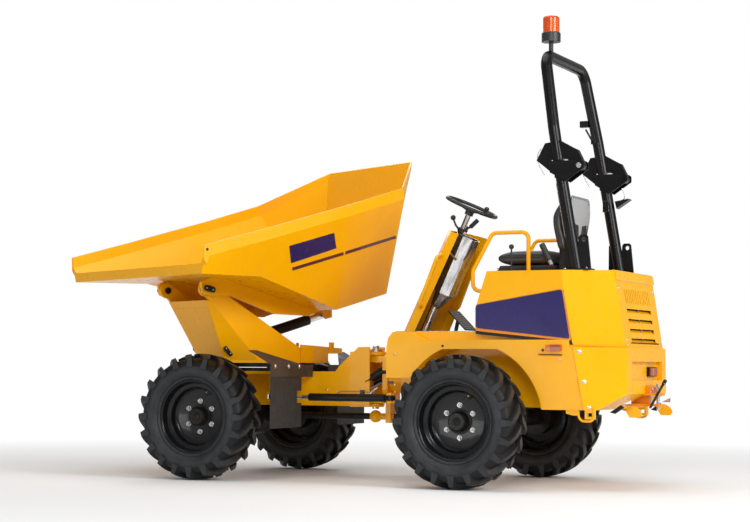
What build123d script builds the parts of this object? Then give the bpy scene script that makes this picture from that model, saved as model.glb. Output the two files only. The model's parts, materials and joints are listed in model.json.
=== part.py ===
"""Articulated site dumper with a power-swivel skip.

The machine is drawn with x = 0 on the rear axle, +X forward, +Y left and z = 0 on the ground, in
millimetres. Everything on the slew ring is drawn in its own frame (u forward, v left, z up, with
u = v = 0 on the ring's axis) and then turned. The skip is drawn lowered on its posts and then tipped.
At the end all pieces move so that the origin is the bottom centre of the whole machine's box.
"""
from build123d import *
import math
import os

# ---------------------------------------------------------------- driving sizes
WHEEL_BASE = 2026
TRACK = 1550
PLATE = 12                 # thick structural plate
SHEET = 6                  # panel sheet
GAP = 5                    # clearance between pieces that move past each other
FIT = 0.1                  # radial clearance of a pin in a moving eye

# wheels
TYRE_RADIUS = 450
TYRE_WIDTH = 310
AXLE_Z = TYRE_RADIUS
RIM_RADIUS = 262
RIM_WIDTH = 224
RIM_SEAT_RADIUS = 237
RIM_WALL = 8
FLANGE_WALL = 8
DISC_THICK = 12
DISC_OFFSET = -9           # outer face of the disc, outwards from the tyre's centre
DISC_FLAT_RADIUS = 173
DISC_RISE = 24
LUG_COUNT = 16             # lugs round each side of a tread
LUG_HEIGHT = 28
LUG_WIDTH = 42
LUG_SWEEP = 10.0           # degrees a lug runs round from shoulder to middle
LUG_FOOT = 380             # radius of a lug's hidden underside
LUG_TAPER = 0.7            # width of a lug's top against its foot
LUG_MIDDLE_GAP = 14        # from a lug's inner end to the middle of the tread
SIDEWALL_RADIUS = 350      # where the sidewall is widest
SHOULDER = 10              # carcass edge in from the tyre's side
HUB_RADIUS = 67
HUB_LENGTH = 60
SPINDLE_RADIUS = 41

# axles
AXLE_TUBE_RADIUS = 62
DIFF_RADIUS = 150
DIFF_WIDTH = 180
NOSE_RADIUS = 60
NOSE_LENGTH = 230
DRUM_RADIUS = 130
DRUM_INNER_Y = 640
PAD_LENGTH = 140

# rear chassis
RAIL_INNER_Y = 300
RAIL_OUTER_Y = 320
RAIL_BOTTOM = 547
RAIL_TOP = 760
RAIL_REAR_X = -870
REAR_FRAME_FRONT = 640
SEAM_GAP = 3               # gap between neighbouring panels
CROSS_THICK = 40
CROSS_TOP = 950
CROSS_BOTTOM = 560
BED_Z = 580
BED_THICK = 20
BED_FRONT = -280

# oscillation bearing and centre yoke
OSC_Z = 715
TRUNNION_RADIUS = 60
BEARING_RADIUS = 95
BEARING_LENGTH = 100
PIVOT_X = 995
PIN_RADIUS = 25
EYE_RADIUS = 60
YOKE_BACK_X = 850
YOKE_BACK_THICK = 40
YOKE_HALF_WIDTH = 110
UPPER_EYE = (845, 892)     # bottom and top of the upper eye
UPPER_EAR_RADIUS = 80
LOWER_EYE = (548, 600)
EAR_THICK = 24
JOINT_BALL_RADIUS = 45
SHAFT_RADIUS = 23
JOINT_BLOCK = (1515, 1620, 38)   # rear end, front end and width of the shaft's joint
HANGER = (855, 895)        # bearing that carries the shaft under the yoke

# wings, hood and boxes
SIDE_Y = 605
WING_INNER_Y = 400
WING_FRONT_X = 625
WING_LEDGE_Z = 1000
WING_FRONT_Z = 737
WING_RECESS_Y = 560
FLOOR_Z = 1055
ARCH_RADIUS = 527
ARCH_TOP_Z = 937
BODY_BOTTOM = 535
BODY_WALL = 12
SEAM_Z = 950
HOOD_TOP = 1465
BOX_FRONT_X = -44
BOX_KNEE_Z = 1235
BOX_FRONT_Z = 1066
BOX_REAR_Z = 1004
BOX_SETBACK = 80
GRILLE_HALF = 398
GRILLE_Z = (982, 1398)
LOUVRE_HALF = 275
LOUVRE_HEIGHT = 26
LOUVRE_Z = (1000, 1065, 1131, 1200)
VENT_Z = (1248, 1345)      # row of upright slots above the louvres
VENT_SLOTS = 14
VENT_WIDTH = 16
RECESS_HALF = 345
RECESS_Z = (730, 857)
RECESS_DEPTH = 32

# stations of the tail, from its foot to its top: z, front x, front half width, rear x, rear half width
TAIL_FOOT = (BODY_BOTTOM, -812, 600, -1066, 440)
TAIL_SEAM = (SEAM_Z, -737, 600, -1062, 436)
HOOD_SEAM = (SEAM_Z, -722, 600, -1050, 415)
HOOD_HEAD = (HOOD_TOP, -657, 600, -965, 427)

# engine
ENGINE_BOX = ((-900, -330), (-230, 230), (BED_Z + BED_THICK, 1230))

# console, steering and seat
CONSOLE_FOOT = (616, FLOOR_Z + SHEET)      # fold between the console's flange and its front
CONSOLE_HEAD = (275, 1790)
CONSOLE_HALF = (306, 266)  # half width at foot and head
CONSOLE_FACE = (152, 132)  # half width of its flat front at foot and head
CONSOLE_BULGE = 85         # how far the flat front stands ahead of the fold
CONSOLE_FLANGE = 67
CONSOLE_CUT = 50           # fall of the top edge towards the driver
GRAB_Y = 355
GRAB_RADIUS = 12
SHROUD_FOOT = (448, 1346)
SHROUD_HEAD = (264, 1745)
SHROUD_RADIUS = 86
SHROUD_LIP = 5
NECK_FOOT = (525, 1254)
COLUMN_RADIUS = 28
COLUMN_FOOT_X = 612
STEER_CENTRE = (238, 1961)
STEER_RADIUS = 188
STEER_GRIP = 13
STEER_LEAN = 24.5
STEER_DISH = 34
SEAT_HALF = 225
PLINTH = (-400, -121, 170, 55)             # rear, front, half width and height
CUSHION = ((-60, 1533), (-45, 1575), (-72, 1618), (-351, 1635), (-440, 1630), (-440, 1522), (-121, 1522))
BACK = ((-474, 1622), (-447, 1750), (-439, 1850), (-470, 1960), (-520, 2008), (-575, 2005), (-602, 1985),
        (-567, 1647))
BACK_HALF = 210
HANDRAIL_Y = 420
HANDRAIL_RADIUS = 14
HANDRAIL_TOP = 1738
PEDAL = ((310, 1078), (445, 1215), (438, 1222), (303, 1085))
PEDAL_Y = (-250, -50)

# roll-over frame
LEG_Y = 470
LEG_RADIUS = 40
LEG_FOOT_X = -722
LEG_LEAN = 0.17            # forward run for each unit of height
LEG_TOP = 2200
HOOP_GAP = 12
FOLD_PIVOT = (-755, 2168)
FOLD_PIN = 12
FOLD_EAR = 30
CHEEK = 8
CHEEK_OUTLINE = ((-548, 2128), (-661, 2063), (-790, 2150), (-790, 2190), (-770, 2205), (-545, 2205))
LOCK_HALF = 8
BRACKET_HALF = 24
HOOP_KNEE_Z = 2440
HOOP_TOP = 2955
HOOP_TOP_X = -470
HOOP_HALF = 395
HOOP_BEND = 110
BEACON_Y = 280
BEACON_STEM = (16, 69)     # radius and height
BEACON_BASE = (66, 65)
BEACON_LENS = (58, 113)
EYE_CENTRE = (-775, 1672)
EYE_BORE = 15

# front chassis
NECK_OUTER_Y = 130
NECK_REAR_X = 985
FRAME_BOTTOM = 525
FRAME_TOP = 775
NECK_TOP = 956
FRAME_FRONT_X = WHEEL_BASE + 414
DECK_HALF = 340
DECK_REAR_X = WHEEL_BASE - 386
RING_RADIUS = 360
RING_INNER = 290
RING_Z = (FRAME_TOP, 800)
UPPER_RING_Z = (RING_Z[1] + GAP, 836)
FLAP_X = WHEEL_BASE - 568
FLAP_Y = (292, 750)
FLAP_Z = (371, 800)
GUARD_Z = (735, 825)
GUARD_TOP = (WHEEL_BASE - 386, 927)

# steering cylinder, pin to pin
STEER_CYL_Y = 300
STEER_CYL_Z = 590
STEER_REAR_X = 730
STEER_FRONT_X = WHEEL_BASE - 326
STEER_BARREL_RADIUS = 28
STEER_BARREL_END = 655
STEER_ROD_START = 250      # inner end of the rod, from the barrel's pin
STEER_ROD_RADIUS = 14
STEER_PIN = 15
STEER_EYE = (32, 34)       # radius and thickness
STEER_LUG = 14
NOTCH_REACH = 58           # from the cylinder's line to the outer edge of the mudflap's notch

# slew ring's load
SWIVEL = 63.0              # skip turned to the left
TIP = 14.0                 # skip raised from its posts
BASE_Z = UPPER_RING_Z[1]
BASE_THICK = 24
ARM_V = (262, 287)
TIP_PIVOT = (606, 1374)
TIP_PIN = 22
TIP_BOSS = 58
LOWER_PIN = (368, 922)
LOWER_PIN_RADIUS = 22
BASE_REAR_U = -560
# nose of the frame at its foot and head: z, fold u, front u, front half width
NOSE_FOOT = (856, 150, 373, 181)
NOSE_HEAD = (1290, 575, 593, 268)
NOSE_WALL = 12
PIN_RIB = (44, 60)
TAIL_PLAN = ((-226, 300), (-340, 300), (-690, 190))
TAIL_WALL = 13
TAIL_TOP = ((-226, 975), (-700, 951))
TAIL_JOIN = -520           # the tail's end starts here; it swings over the tyres
TAIL_CLEAR_Z = 912         # underside of the tail's end
POST = (-565, 12, 996)      # u, radius and top of a rest post

# skip
SKIP_WALL = 10
RAIL_V = (292, 317)
RIM_BAND = 80
LIP_HEIGHT = 70
# stations from the lip to the rear wall: foot u, foot z, foot half width, rim u, rim z, rim half width
SKIP_STATIONS = (
    (1005, 1546, 915, 968, 1735, 958),
    (460, 1413, 800, 460, 1748, 965),
    (-280, 1010, 600, -280, 1776, 970),
    (-800, 1020, 550, -815, 1806, 970),
    (-880, 1045, 420, -1290, 1963, 547),
)

# tip cylinder, pin to pin at rest
TIP_EYE_REST = (-652, 1217)
TIP_BARREL_RADIUS = 40
TIP_BARREL_END = 900
TIP_ROD_START = 200
TIP_ROD_RADIUS = 28
TIP_EYE = (32, 76)         # radius and thickness
ROD_PIN = 16


# ---------------------------------------------------------------- drawing helpers
def block(x, y, z):
    """Box from three (low, high) pairs."""
    centre = [(low + high) / 2 for low, high in (x, y, z)]
    return Pos(*centre) * Box(*[abs(high - low) for low, high in (x, y, z)])


def rod(start, end, radius):
    """Round bar between two points."""
    start, end = Vector(*start), Vector(*end)
    plane = Plane(origin=start, z_dir=(end - start).normalized())
    return extrude(plane * Circle(radius), amount=(end - start).length)


def along_y(x, z, radius, y0, y1):
    return rod((x, y0, z), (x, y1, z), radius)


def along_z(x, y, radius, z0, z1):
    return rod((x, y, z0), (x, y, z1), radius)


def along_x(y, z, radius, x0, x1):
    return rod((x0, y, z), (x1, y, z), radius)


def polygon(points):
    return make_face(Polyline(*[Vector(*p) for p in points], close=True))


def side_plate(points, y0, y1):
    """Outline in (x, z), solid from y0 to y1."""
    return extrude(polygon([(x, y0, z) for x, z in points]), amount=y1 - y0, dir=(0, 1, 0))


def flat_plate(points, z0, z1):
    """Outline in (x, y), solid from z0 to z1."""
    return extrude(polygon([(x, y, z0) for x, y in points]), amount=z1 - z0, dir=(0, 0, 1))


def both_sides(shape):
    return [shape, mirror(shape, about=Plane.XZ)]


def fuse(parts):
    whole = parts[0]
    for part in parts[1:]:
        whole = whole + part
    return whole


def between(start, end, share):
    return tuple(a + (b - a) * share for a, b in zip(start, end))


# ---------------------------------------------------------------- wheels and axles
def revolve_about_y(points):
    """Outline in (y, radius), turned about the Y axis."""
    return revolve(polygon([(radius, y, 0) for y, radius in points]), axis=Axis.Y)


def ring_gon(y, radius):
    """Regular outline round the wheel's axis at one distance across; its flats face the lugs."""
    turn = 180 / LUG_COUNT
    return polygon([(radius * math.cos(math.radians(turn * (2 * index + 1))), y,
                     radius * math.sin(math.radians(turn * (2 * index + 1)))) for index in range(LUG_COUNT)])


def ring_bore(radius, y0, y1):
    """Many-sided bore whose flats touch a circle of that radius."""
    corner = radius / math.cos(math.radians(180 / LUG_COUNT))
    return loft([ring_gon(y0, corner), ring_gon(y1, corner)], ruled=True)


def tyre():
    """Carcass with one flat for each lug, and two rows of lugs swept towards the middle."""
    half = TYRE_WIDTH / 2
    bead = RIM_WIDTH / 2
    inside = bead - FLANGE_WALL
    crown = TYRE_RADIUS - LUG_HEIGHT
    side = [(inside, RIM_RADIUS + 16), (bead + 10, RIM_RADIUS + 20), (half - 2, SIDEWALL_RADIUS),
            (half - SHOULDER, crown - 6)]
    rows = [(-y, radius) for y, radius in side] + [(y, radius) for y, radius in reversed(side)]
    bands = [loft([ring_gon(y0, r0), ring_gon(y1, r1)], ruled=True) for (y0, r0), (y1, r1) in zip(rows, rows[1:])]
    shape = fuse(bands) - ring_bore(RIM_SEAT_RADIUS, -half - 1, half + 1)
    for way in (-1, 1):
        shape = shape - ring_bore(RIM_RADIUS + 1, *sorted((way * inside, way * (half + 1))))
    pitch = 360 / LUG_COUNT
    lugs = []
    for way in (-1, 1):
        for index in range(LUG_COUNT):
            lugs.append(Rot(0, index * pitch - LUG_SWEEP / 2, 0) * tyre_lug(way))
    return shape + lugs


def tyre_lug(way):
    """One lug, from the shoulder to the middle of the tread."""
    half = TYRE_WIDTH / 2
    sweep = math.radians(LUG_SWEEP)
    top = TYRE_RADIUS
    wide = LUG_WIDTH / 2
    end = half - SHOULDER - 2
    start = Vector(0, way * end, 0)
    run = Vector(top * math.sin(sweep), way * (LUG_MIDDLE_GAP - end), -top * (1 - math.cos(sweep)) - 4)
    foot = polygon([(-wide, start.Y, LUG_FOOT), (wide, start.Y, LUG_FOOT), (wide * LUG_TAPER, start.Y, top),
                    (-wide * LUG_TAPER, start.Y, top)])
    return extrude(foot, amount=run.length, dir=run.normalized())


def rim():
    """Rim, disc and hub of a left wheel: +Y is outwards."""
    edge = RIM_WIDTH / 2
    inside = edge - FLANGE_WALL
    bore = RIM_SEAT_RADIUS - RIM_WALL
    barrel = revolve_about_y([(-edge, RIM_RADIUS), (-inside, RIM_RADIUS), (-inside, RIM_SEAT_RADIUS),
                              (inside, RIM_SEAT_RADIUS), (inside, RIM_RADIUS), (edge, RIM_RADIUS),
                              (edge, bore), (-edge, bore)])
    face = DISC_OFFSET
    back = face - DISC_THICK
    disc = revolve_about_y([(face, 0), (face, DISC_FLAT_RADIUS), (face + DISC_RISE, bore),
                            (face + DISC_RISE - DISC_THICK, bore), (back, DISC_FLAT_RADIUS), (back, 0)])
    hub = along_y(0, 0, HUB_RADIUS, back, face + HUB_LENGTH)
    pocket = along_y(0, 0, SPINDLE_RADIUS + FIT, back - 1, face + HUB_LENGTH - PLATE)
    return barrel + disc + hub - pocket


def axle(x, pinion_way, pad_y, pad_top):
    """Beam axle across the machine; its pinion nose points along pinion_way."""
    disc_back = TRACK / 2 + DISC_OFFSET - DISC_THICK
    parts = [along_y(x, AXLE_Z, AXLE_TUBE_RADIUS, -DRUM_INNER_Y, DRUM_INNER_Y),
             along_y(x, AXLE_Z, DIFF_RADIUS, -DIFF_WIDTH / 2, DIFF_WIDTH / 2),
             along_x(0, AXLE_Z, NOSE_RADIUS, x, x + pinion_way * NOSE_LENGTH)]
    spindle_end = disc_back + DISC_THICK + HUB_LENGTH - PLATE - GAP
    for way in (-1, 1):
        parts.append(along_y(x, AXLE_Z, DRUM_RADIUS, way * DRUM_INNER_Y, way * (disc_back - GAP)))
        parts.append(along_y(x, AXLE_Z, SPINDLE_RADIUS, way * (disc_back - 2 * GAP), way * spindle_end))
        inner, outer = sorted((way * pad_y[0], way * pad_y[1]))
        parts.append(block((x - PAD_LENGTH / 2, x + PAD_LENGTH / 2), (inner, outer), (AXLE_Z, pad_top)))
    return fuse(parts)


# ---------------------------------------------------------------- rear half
def tail_section(station, inset=0.0):
    """Plan outline of the tail at one height, drawn in by an inset."""
    z, front_x, front_half, rear_x, rear_half = station
    return polygon([(front_x, front_half - inset, z), (rear_x + inset, rear_half - inset, z),
                    (rear_x + inset, inset - rear_half, z), (front_x, inset - front_half, z)])


def tail_shell(low, high, wall, floor, roof):
    """Hollow tail between two stations, open to the front."""
    outer = loft([tail_section(low), tail_section(high)], ruled=True)

    def at(z, push):
        share = (z - low[0]) / (high[0] - low[0])
        station = list(between(low, high, share))
        station[1] += push
        return tail_section(station, wall)
    z0 = low[0] + (wall if floor else -1)
    z1 = high[0] + (-wall if roof else 1)
    inner = loft([at(z0, 40), at(z1, 40)], ruled=True)
    return outer - inner


def rear_frame():
    rail = block((RAIL_REAR_X, REAR_FRAME_FRONT), (RAIL_INNER_Y, RAIL_OUTER_Y), (RAIL_BOTTOM, RAIL_TOP))
    post = block((REAR_FRAME_FRONT - CROSS_THICK, REAR_FRAME_FRONT), (RAIL_INNER_Y, RAIL_OUTER_Y),
                 (RAIL_TOP, CROSS_TOP))
    cross = block((REAR_FRAME_FRONT - CROSS_THICK, REAR_FRAME_FRONT), (-RAIL_INNER_Y, RAIL_INNER_Y),
                  (CROSS_BOTTOM, CROSS_TOP))
    boss = along_x(0, OSC_Z, BEARING_RADIUS, REAR_FRAME_FRONT - BEARING_LENGTH, REAR_FRAME_FRONT)
    bore = along_x(0, OSC_Z, TRUNNION_RADIUS + FIT, REAR_FRAME_FRONT - BEARING_LENGTH - 1,
                   REAR_FRAME_FRONT + 1)
    bed = block((RAIL_REAR_X, BED_FRONT), (-RAIL_INNER_Y, RAIL_INNER_Y), (BED_Z, BED_Z + BED_THICK))
    return fuse(both_sides(rail) + both_sides(post) + [cross, boss, bed]) - bore


def tail_solid():
    return loft([tail_section(TAIL_FOOT), tail_section(TAIL_SEAM)], ruled=True)


def tail_wedge():
    """Space under the tail's sloped floor."""
    return side_plate([(-890, BODY_BOTTOM - 1), (-1100, BODY_BOTTOM - 1), (-1100, 662)], -700, 700)


def recess():
    """Shallow lamp pocket in the tail's rear face: the cut, and the pan that lines it."""
    face = TAIL_SEAM[3]
    back = face + RECESS_DEPTH
    low, high = RECESS_Z
    cut = block((face - 60, back), (-RECESS_HALF, RECESS_HALF), (low, high))
    pan = block((face + BODY_WALL / 2, back + SHEET), (-RECESS_HALF - SHEET, RECESS_HALF + SHEET),
                (low - SHEET, high + SHEET))
    return cut, pan


def rear_body():
    shell = tail_shell(TAIL_FOOT, TAIL_SEAM, BODY_WALL, floor=True, roof=False)
    wedge = tail_wedge()
    slope = side_plate([(-890, BODY_BOTTOM), (-1090, 656), (-1090, 656 + BODY_WALL),
                        (-890, BODY_BOTTOM + BODY_WALL)], -SIDE_Y, SIDE_Y)
    outer = tail_solid()
    lugs = []
    for way in (-1, 1):
        y0, y1 = sorted((way * 560, way * 590))
        lug = block((-885, -818), (y0, y1), (BODY_BOTTOM - 60, BODY_BOTTOM + BODY_WALL))
        lugs.append(lug - block((-868, -835), (y0 - 1, y1 + 1), (BODY_BOTTOM - 42, BODY_BOTTOM - 18)))
    cut, pan = recess()
    return fuse([shell - wedge, slope & outer, pan] + lugs) - cut


def wing():
    """Left wing: a closed box with the wheel arch cut into its outer part."""
    top = [(WING_FRONT_X, WING_FRONT_Z), (WING_FRONT_X, SEAM_Z), (612, 1012), (575, FLOOR_Z),
           (443, FLOOR_Z), (330, WING_LEDGE_Z), (hood_front_x(WING_LEDGE_Z) + SEAM_GAP, WING_LEDGE_Z),
           (TAIL_SEAM[1] + SEAM_GAP, SEAM_Z), (TAIL_FOOT[1] + SEAM_GAP, BODY_BOTTOM)]
    top[7:7] = [(hood_front_x(SEAM_Z) + SEAM_GAP, SEAM_Z)]
    outer = side_plate(top + [(-300, BODY_BOTTOM), (300, WING_FRONT_Z)], WING_INNER_Y, SIDE_Y)
    arch = along_y(0, AXLE_Z, ARCH_RADIUS, WING_INNER_Y - 1, SIDE_Y + 1)
    arch = arch - block((-700, 700), (0, 900), (ARCH_TOP_Z, 1400))
    inner = side_plate(top + [(420, BODY_BOTTOM + 25), (480, WING_FRONT_Z)], RAIL_OUTER_Y, WING_INNER_Y)
    step = side_plate([(443, FLOOR_Z), (BOX_FRONT_X, FLOOR_Z), (BOX_FRONT_X, BOX_FRONT_Z),
                       (hood_front_x(BOX_REAR_Z) + SEAM_GAP, BOX_REAR_Z),
                       (hood_front_x(WING_LEDGE_Z) + SEAM_GAP, WING_LEDGE_Z), (330, WING_LEDGE_Z)],
                      RAIL_OUTER_Y, WING_RECESS_Y)
    return fuse([outer - arch, inner, step])


def hood():
    shell = tail_shell(HOOD_SEAM, HOOD_HEAD, SHEET, floor=False, roof=True)
    return shell - grille_window()


def grille_window():
    return block((-1200, -900), (-GRILLE_HALF, GRILLE_HALF), GRILLE_Z)


def rear_grille():
    """Panel in the hood's window, with louvre slots and a row of upright vents above them."""
    shell = tail_shell(HOOD_SEAM, HOOD_HEAD, SHEET, floor=False, roof=True)
    panel = shell & grille_window()
    slots = [block((-1200, -900), (-LOUVRE_HALF, LOUVRE_HALF), (z - LOUVRE_HEIGHT / 2, z + LOUVRE_HEIGHT / 2))
             for z in LOUVRE_Z]
    pitch = 2 * (LOUVRE_HALF - VENT_WIDTH) / (VENT_SLOTS - 1)
    for index in range(VENT_SLOTS):
        y = -LOUVRE_HALF + VENT_WIDTH + index * pitch
        slots.append(block((-1200, -900), (y - VENT_WIDTH / 2, y + VENT_WIDTH / 2), VENT_Z))
    for slot in slots:
        panel = panel - slot
    return panel


def hood_front_x(z):
    low, high = HOOD_SEAM, HOOD_HEAD
    return low[1] + (high[1] - low[1]) * (z - low[0]) / (high[0] - low[0])


def side_box():
    outline = [(BOX_FRONT_X - BOX_SETBACK, HOOD_TOP), (BOX_FRONT_X - 4, BOX_KNEE_Z),
               (BOX_FRONT_X, BOX_FRONT_Z), (hood_front_x(BOX_REAR_Z), BOX_REAR_Z),
               (hood_front_x(HOOD_TOP), HOOD_TOP)]
    return side_plate(outline, RAIL_INNER_Y, HOOD_SEAM[2])


def seat_box():
    """Front wall and lid between the side boxes, with the plinth under the seat."""
    front = side_plate([(BOX_FRONT_X - BOX_SETBACK, HOOD_TOP), (BOX_FRONT_X - 4, BOX_KNEE_Z),
                        (BOX_FRONT_X, FLOOR_Z + SHEET), (BOX_FRONT_X - SHEET, FLOOR_Z + SHEET),
                        (BOX_FRONT_X - 4 - SHEET, BOX_KNEE_Z), (BOX_FRONT_X - BOX_SETBACK - SHEET, HOOD_TOP)],
                       -RAIL_INNER_Y, RAIL_INNER_Y)
    lid = side_plate([(BOX_FRONT_X - BOX_SETBACK, HOOD_TOP), (hood_front_x(HOOD_TOP), HOOD_TOP),
                      (hood_front_x(HOOD_TOP), HOOD_TOP - SHEET),
                      (BOX_FRONT_X - BOX_SETBACK, HOOD_TOP - SHEET)], -RAIL_INNER_Y, RAIL_INNER_Y)
    rear, ahead, half, height = PLINTH
    return fuse([front, lid, block((rear, ahead), (-half, half), (HOOD_TOP, HOOD_TOP + height))])


def floor_plate():
    x, face = CONSOLE_FOOT[0], CONSOLE_FOOT[0] + CONSOLE_BULGE + SHEET
    edge = WING_FRONT_X - 50
    half, flat = CONSOLE_HALF[0] + SHEET, CONSOLE_FACE[0] + SHEET
    tongue = flat_plate([(edge, half), (x + SHEET, half), (face, flat), (face, -flat), (x + SHEET, -half),
                         (edge, -half)], FLOOR_Z, FLOOR_Z + SHEET)
    return block((BOX_FRONT_X, edge), (-WING_RECESS_Y, WING_RECESS_Y), (FLOOR_Z, FLOOR_Z + SHEET)) + tongue


def console_section(end, inset=0.0, open_rear=0.0):
    """Plan outline of the folded console at its foot (0) or head (1)."""
    x, z = (CONSOLE_FOOT, CONSOLE_HEAD)[end]
    half, face = CONSOLE_HALF[end] - inset, CONSOLE_FACE[end] - inset / 2
    front, rear = x + CONSOLE_BULGE - inset, x - CONSOLE_FLANGE - open_rear
    return polygon([(rear, half, z), (x, half, z), (front, face, z), (front, -face, z), (x, -half, z),
                    (rear, -half, z)])


def console():
    """Folded sheet ahead of the steering column, with a grab tube on each flange."""
    outer = loft([console_section(0), console_section(1)], ruled=True)
    inner = loft([console_section(0, SHEET, 40), console_section(1, SHEET, 40)], ruled=True)
    x, z = CONSOLE_HEAD
    rear, front = x - CONSOLE_FLANGE - 20, x + CONSOLE_BULGE
    slant = side_plate([(rear, z + 1), (front, z + 1), (rear, z - CONSOLE_CUT)], -400, 400)
    tubes = []
    for way in (-1, 1):
        corners = [(352, way * 272, 1604), (352, way * GRAB_Y, 1590), (490, way * GRAB_Y, 1250),
                   (497, way * 290, 1234)]
        path = FilletPolyline(*[Vector(*p) for p in corners], radius=26)
        start = Plane(origin=path @ 0, z_dir=path % 0)
        tubes.append(sweep(start * Circle(GRAB_RADIUS), path=path) - inner)
    return fuse([outer - inner - slant] + tubes)


def steering_column():
    """Octagonal shroud open at its top, its neck and foot, and the shaft up to the steering wheel."""
    foot, head = Vector(SHROUD_FOOT[0], 0, SHROUD_FOOT[1]), Vector(SHROUD_HEAD[0], 0, SHROUD_HEAD[1])
    way = (head - foot).normalized()
    length = (head - foot).length
    plane = Plane(origin=foot, x_dir=(0, 1, 0), z_dir=way)
    shroud = extrude(plane * RegularPolygon(SHROUD_RADIUS, 8, major_radius=False), amount=length)
    mouth = Plane(origin=head - way * 40, x_dir=(0, 1, 0), z_dir=way)
    shroud = shroud - extrude(mouth * RegularPolygon(SHROUD_RADIUS - SHROUD_LIP, 8, major_radius=False), amount=41)
    knee = Vector(NECK_FOOT[0], 0, NECK_FOOT[1])
    low = Plane(origin=knee, x_dir=(0, 1, 0), z_dir=(foot - knee).normalized())
    neck = loft([low * RegularPolygon(COLUMN_RADIUS + 10, 8), plane * RegularPolygon(SHROUD_RADIUS - 12, 8)], ruled=True)
    floor_z = FLOOR_Z + SHEET
    shank = rod((NECK_FOOT[0] - 4, 0, NECK_FOOT[1] + 8), (COLUMN_FOOT_X + 8, 0, floor_z - 14), COLUMN_RADIUS)
    shank = shank - block((0, CONSOLE_FOOT[0] * 2), (-SHROUD_RADIUS, SHROUD_RADIUS), (floor_z - 200, floor_z))
    lean = math.radians(STEER_LEAN)
    centre = Vector(STEER_CENTRE[0], 0, STEER_CENTRE[1])
    up = Vector(-math.sin(lean), 0, math.cos(lean))
    shaft = rod(centre - up * 262, centre - up * (STEER_DISH + 30), 20)
    return fuse([shroud, neck, shank, shaft])


def steering_wheel():
    """Rim, three spokes falling to the hub, and the hub on its shaft."""
    ring = Torus(STEER_RADIUS, STEER_GRIP)
    hub = Pos(0, 0, -STEER_DISH - 27) * Cylinder(32, 44, align=(Align.CENTER, Align.CENTER, Align.MIN))
    spokes = []
    for turn in (0, 120, 240):
        spokes.append(Rot(0, 0, turn) * side_plate([(20, -STEER_DISH - 4), (20, -STEER_DISH + 8),
                                                    (STEER_RADIUS, 5), (STEER_RADIUS, -5)], -9, 9))
    return Pos(STEER_CENTRE[0], 0, STEER_CENTRE[1]) * Rot(0, -STEER_LEAN, 0) * fuse([ring, hub] + spokes)


def control_levers():
    """Two levers on the column, the hand lever beside the seat, and the pedal."""
    left = rod((316, 34, 1790), (318, 100, 1827), 7) + rod((318, 100, 1822), (340, 100, 1879), 7)
    left = left + Pos(340, 100, 1882) * Sphere(19)
    right = rod((305, -10, 1800), (264, -40, 1822), 8) + rod((264, -40, 1822), (208, -40, 1870), 16)
    hand = rod((-186, 300, HOOD_TOP), (-186, 300, 1640), 6) + Pos(-186, 300, 1648) * Sphere(18)
    plate = side_plate(PEDAL, *PEDAL_Y)
    middle = sum(PEDAL_Y) / 2
    leg = rod((427, middle, FLOOR_Z + SHEET), (402, middle, 1172), 14)
    leg = leg - block((0, 900), PEDAL_Y, (FLOOR_Z - 100, FLOOR_Z + SHEET))
    column = steering_column()
    return Compound([left - column, right - column, hand, plate + leg])


def handrail():
    x_face = BOX_FRONT_X - BOX_SETBACK * 0.55
    corners = [(x_face, 1320), (52, 1350), (52, 1478), (-95, HANDRAIL_TOP), (-358, HANDRAIL_TOP),
               (-358, HOOD_TOP)]
    path = FilletPolyline(*[Vector(x, HANDRAIL_Y, z) for x, z in corners], radius=50)
    start = Plane(origin=path @ 0, z_dir=path % 0)
    tube = sweep(start * Circle(HANDRAIL_RADIUS), path=path)
    return tube - side_box()


def seat_cushion():
    return side_plate(CUSHION, -SEAT_HALF, SEAT_HALF)


def seat_back():
    front, rear = BACK[0][0] - 4, BACK[-1][0] + 8
    foot = block((rear, front), (-120, 120), (HOOD_TOP, BACK[-1][1] + 12))
    return side_plate(BACK, -BACK_HALF, BACK_HALF) + foot


def leg_x(z):
    return LEG_FOOT_X + LEG_LEAN * (z - HOOD_TOP)


def rops_leg():
    """Left lower leg with its foot, lifting eye and the two cheeks of the fold hinge."""
    tube = rod((leg_x(HOOD_TOP + 8), LEG_Y, HOOD_TOP + 8), (leg_x(LEG_TOP), LEG_Y, LEG_TOP), LEG_RADIUS)
    base = HOOD_TOP + PLATE
    foot = block((-828, -632), (LEG_Y - 62, LEG_Y + 62), (HOOD_TOP, base))
    eye = side_plate([(-822, base), (-801, 1694), (-790, 1705), (-750, 1705), (-738, 1690), (leg_x(base), base)],
                     LEG_Y - 8, LEG_Y + 8)
    eye = eye - along_y(*EYE_CENTRE, EYE_BORE, LEG_Y - 20, LEG_Y + 20)
    gusset = side_plate([(leg_x(1690) + 20, 1690), (leg_x(1690) + LEG_RADIUS + 6, 1690), (-635, base),
                         (leg_x(base), base)], LEG_Y - 8, LEG_Y + 8)
    cheeks = []
    inside = LEG_RADIUS + GAP
    for way in (-1, 1):
        y0, y1 = sorted((LEG_Y + way * inside, LEG_Y + way * (inside + CHEEK)))
        cheeks.append(side_plate(CHEEK_OUTLINE, y0, y1))
        y0, y1 = sorted((LEG_Y, LEG_Y + way * inside))
        cheeks.append(block((leg_x(2120) - 30, leg_x(2120) + 30), (y0, y1), (2090, 2150)))
    pin = along_y(*FOLD_PIVOT, FOLD_PIN, LEG_Y - inside - CHEEK - 8, LEG_Y + inside + CHEEK + 8)
    return fuse([tube, foot, eye, gusset] + cheeks + [pin])


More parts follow.
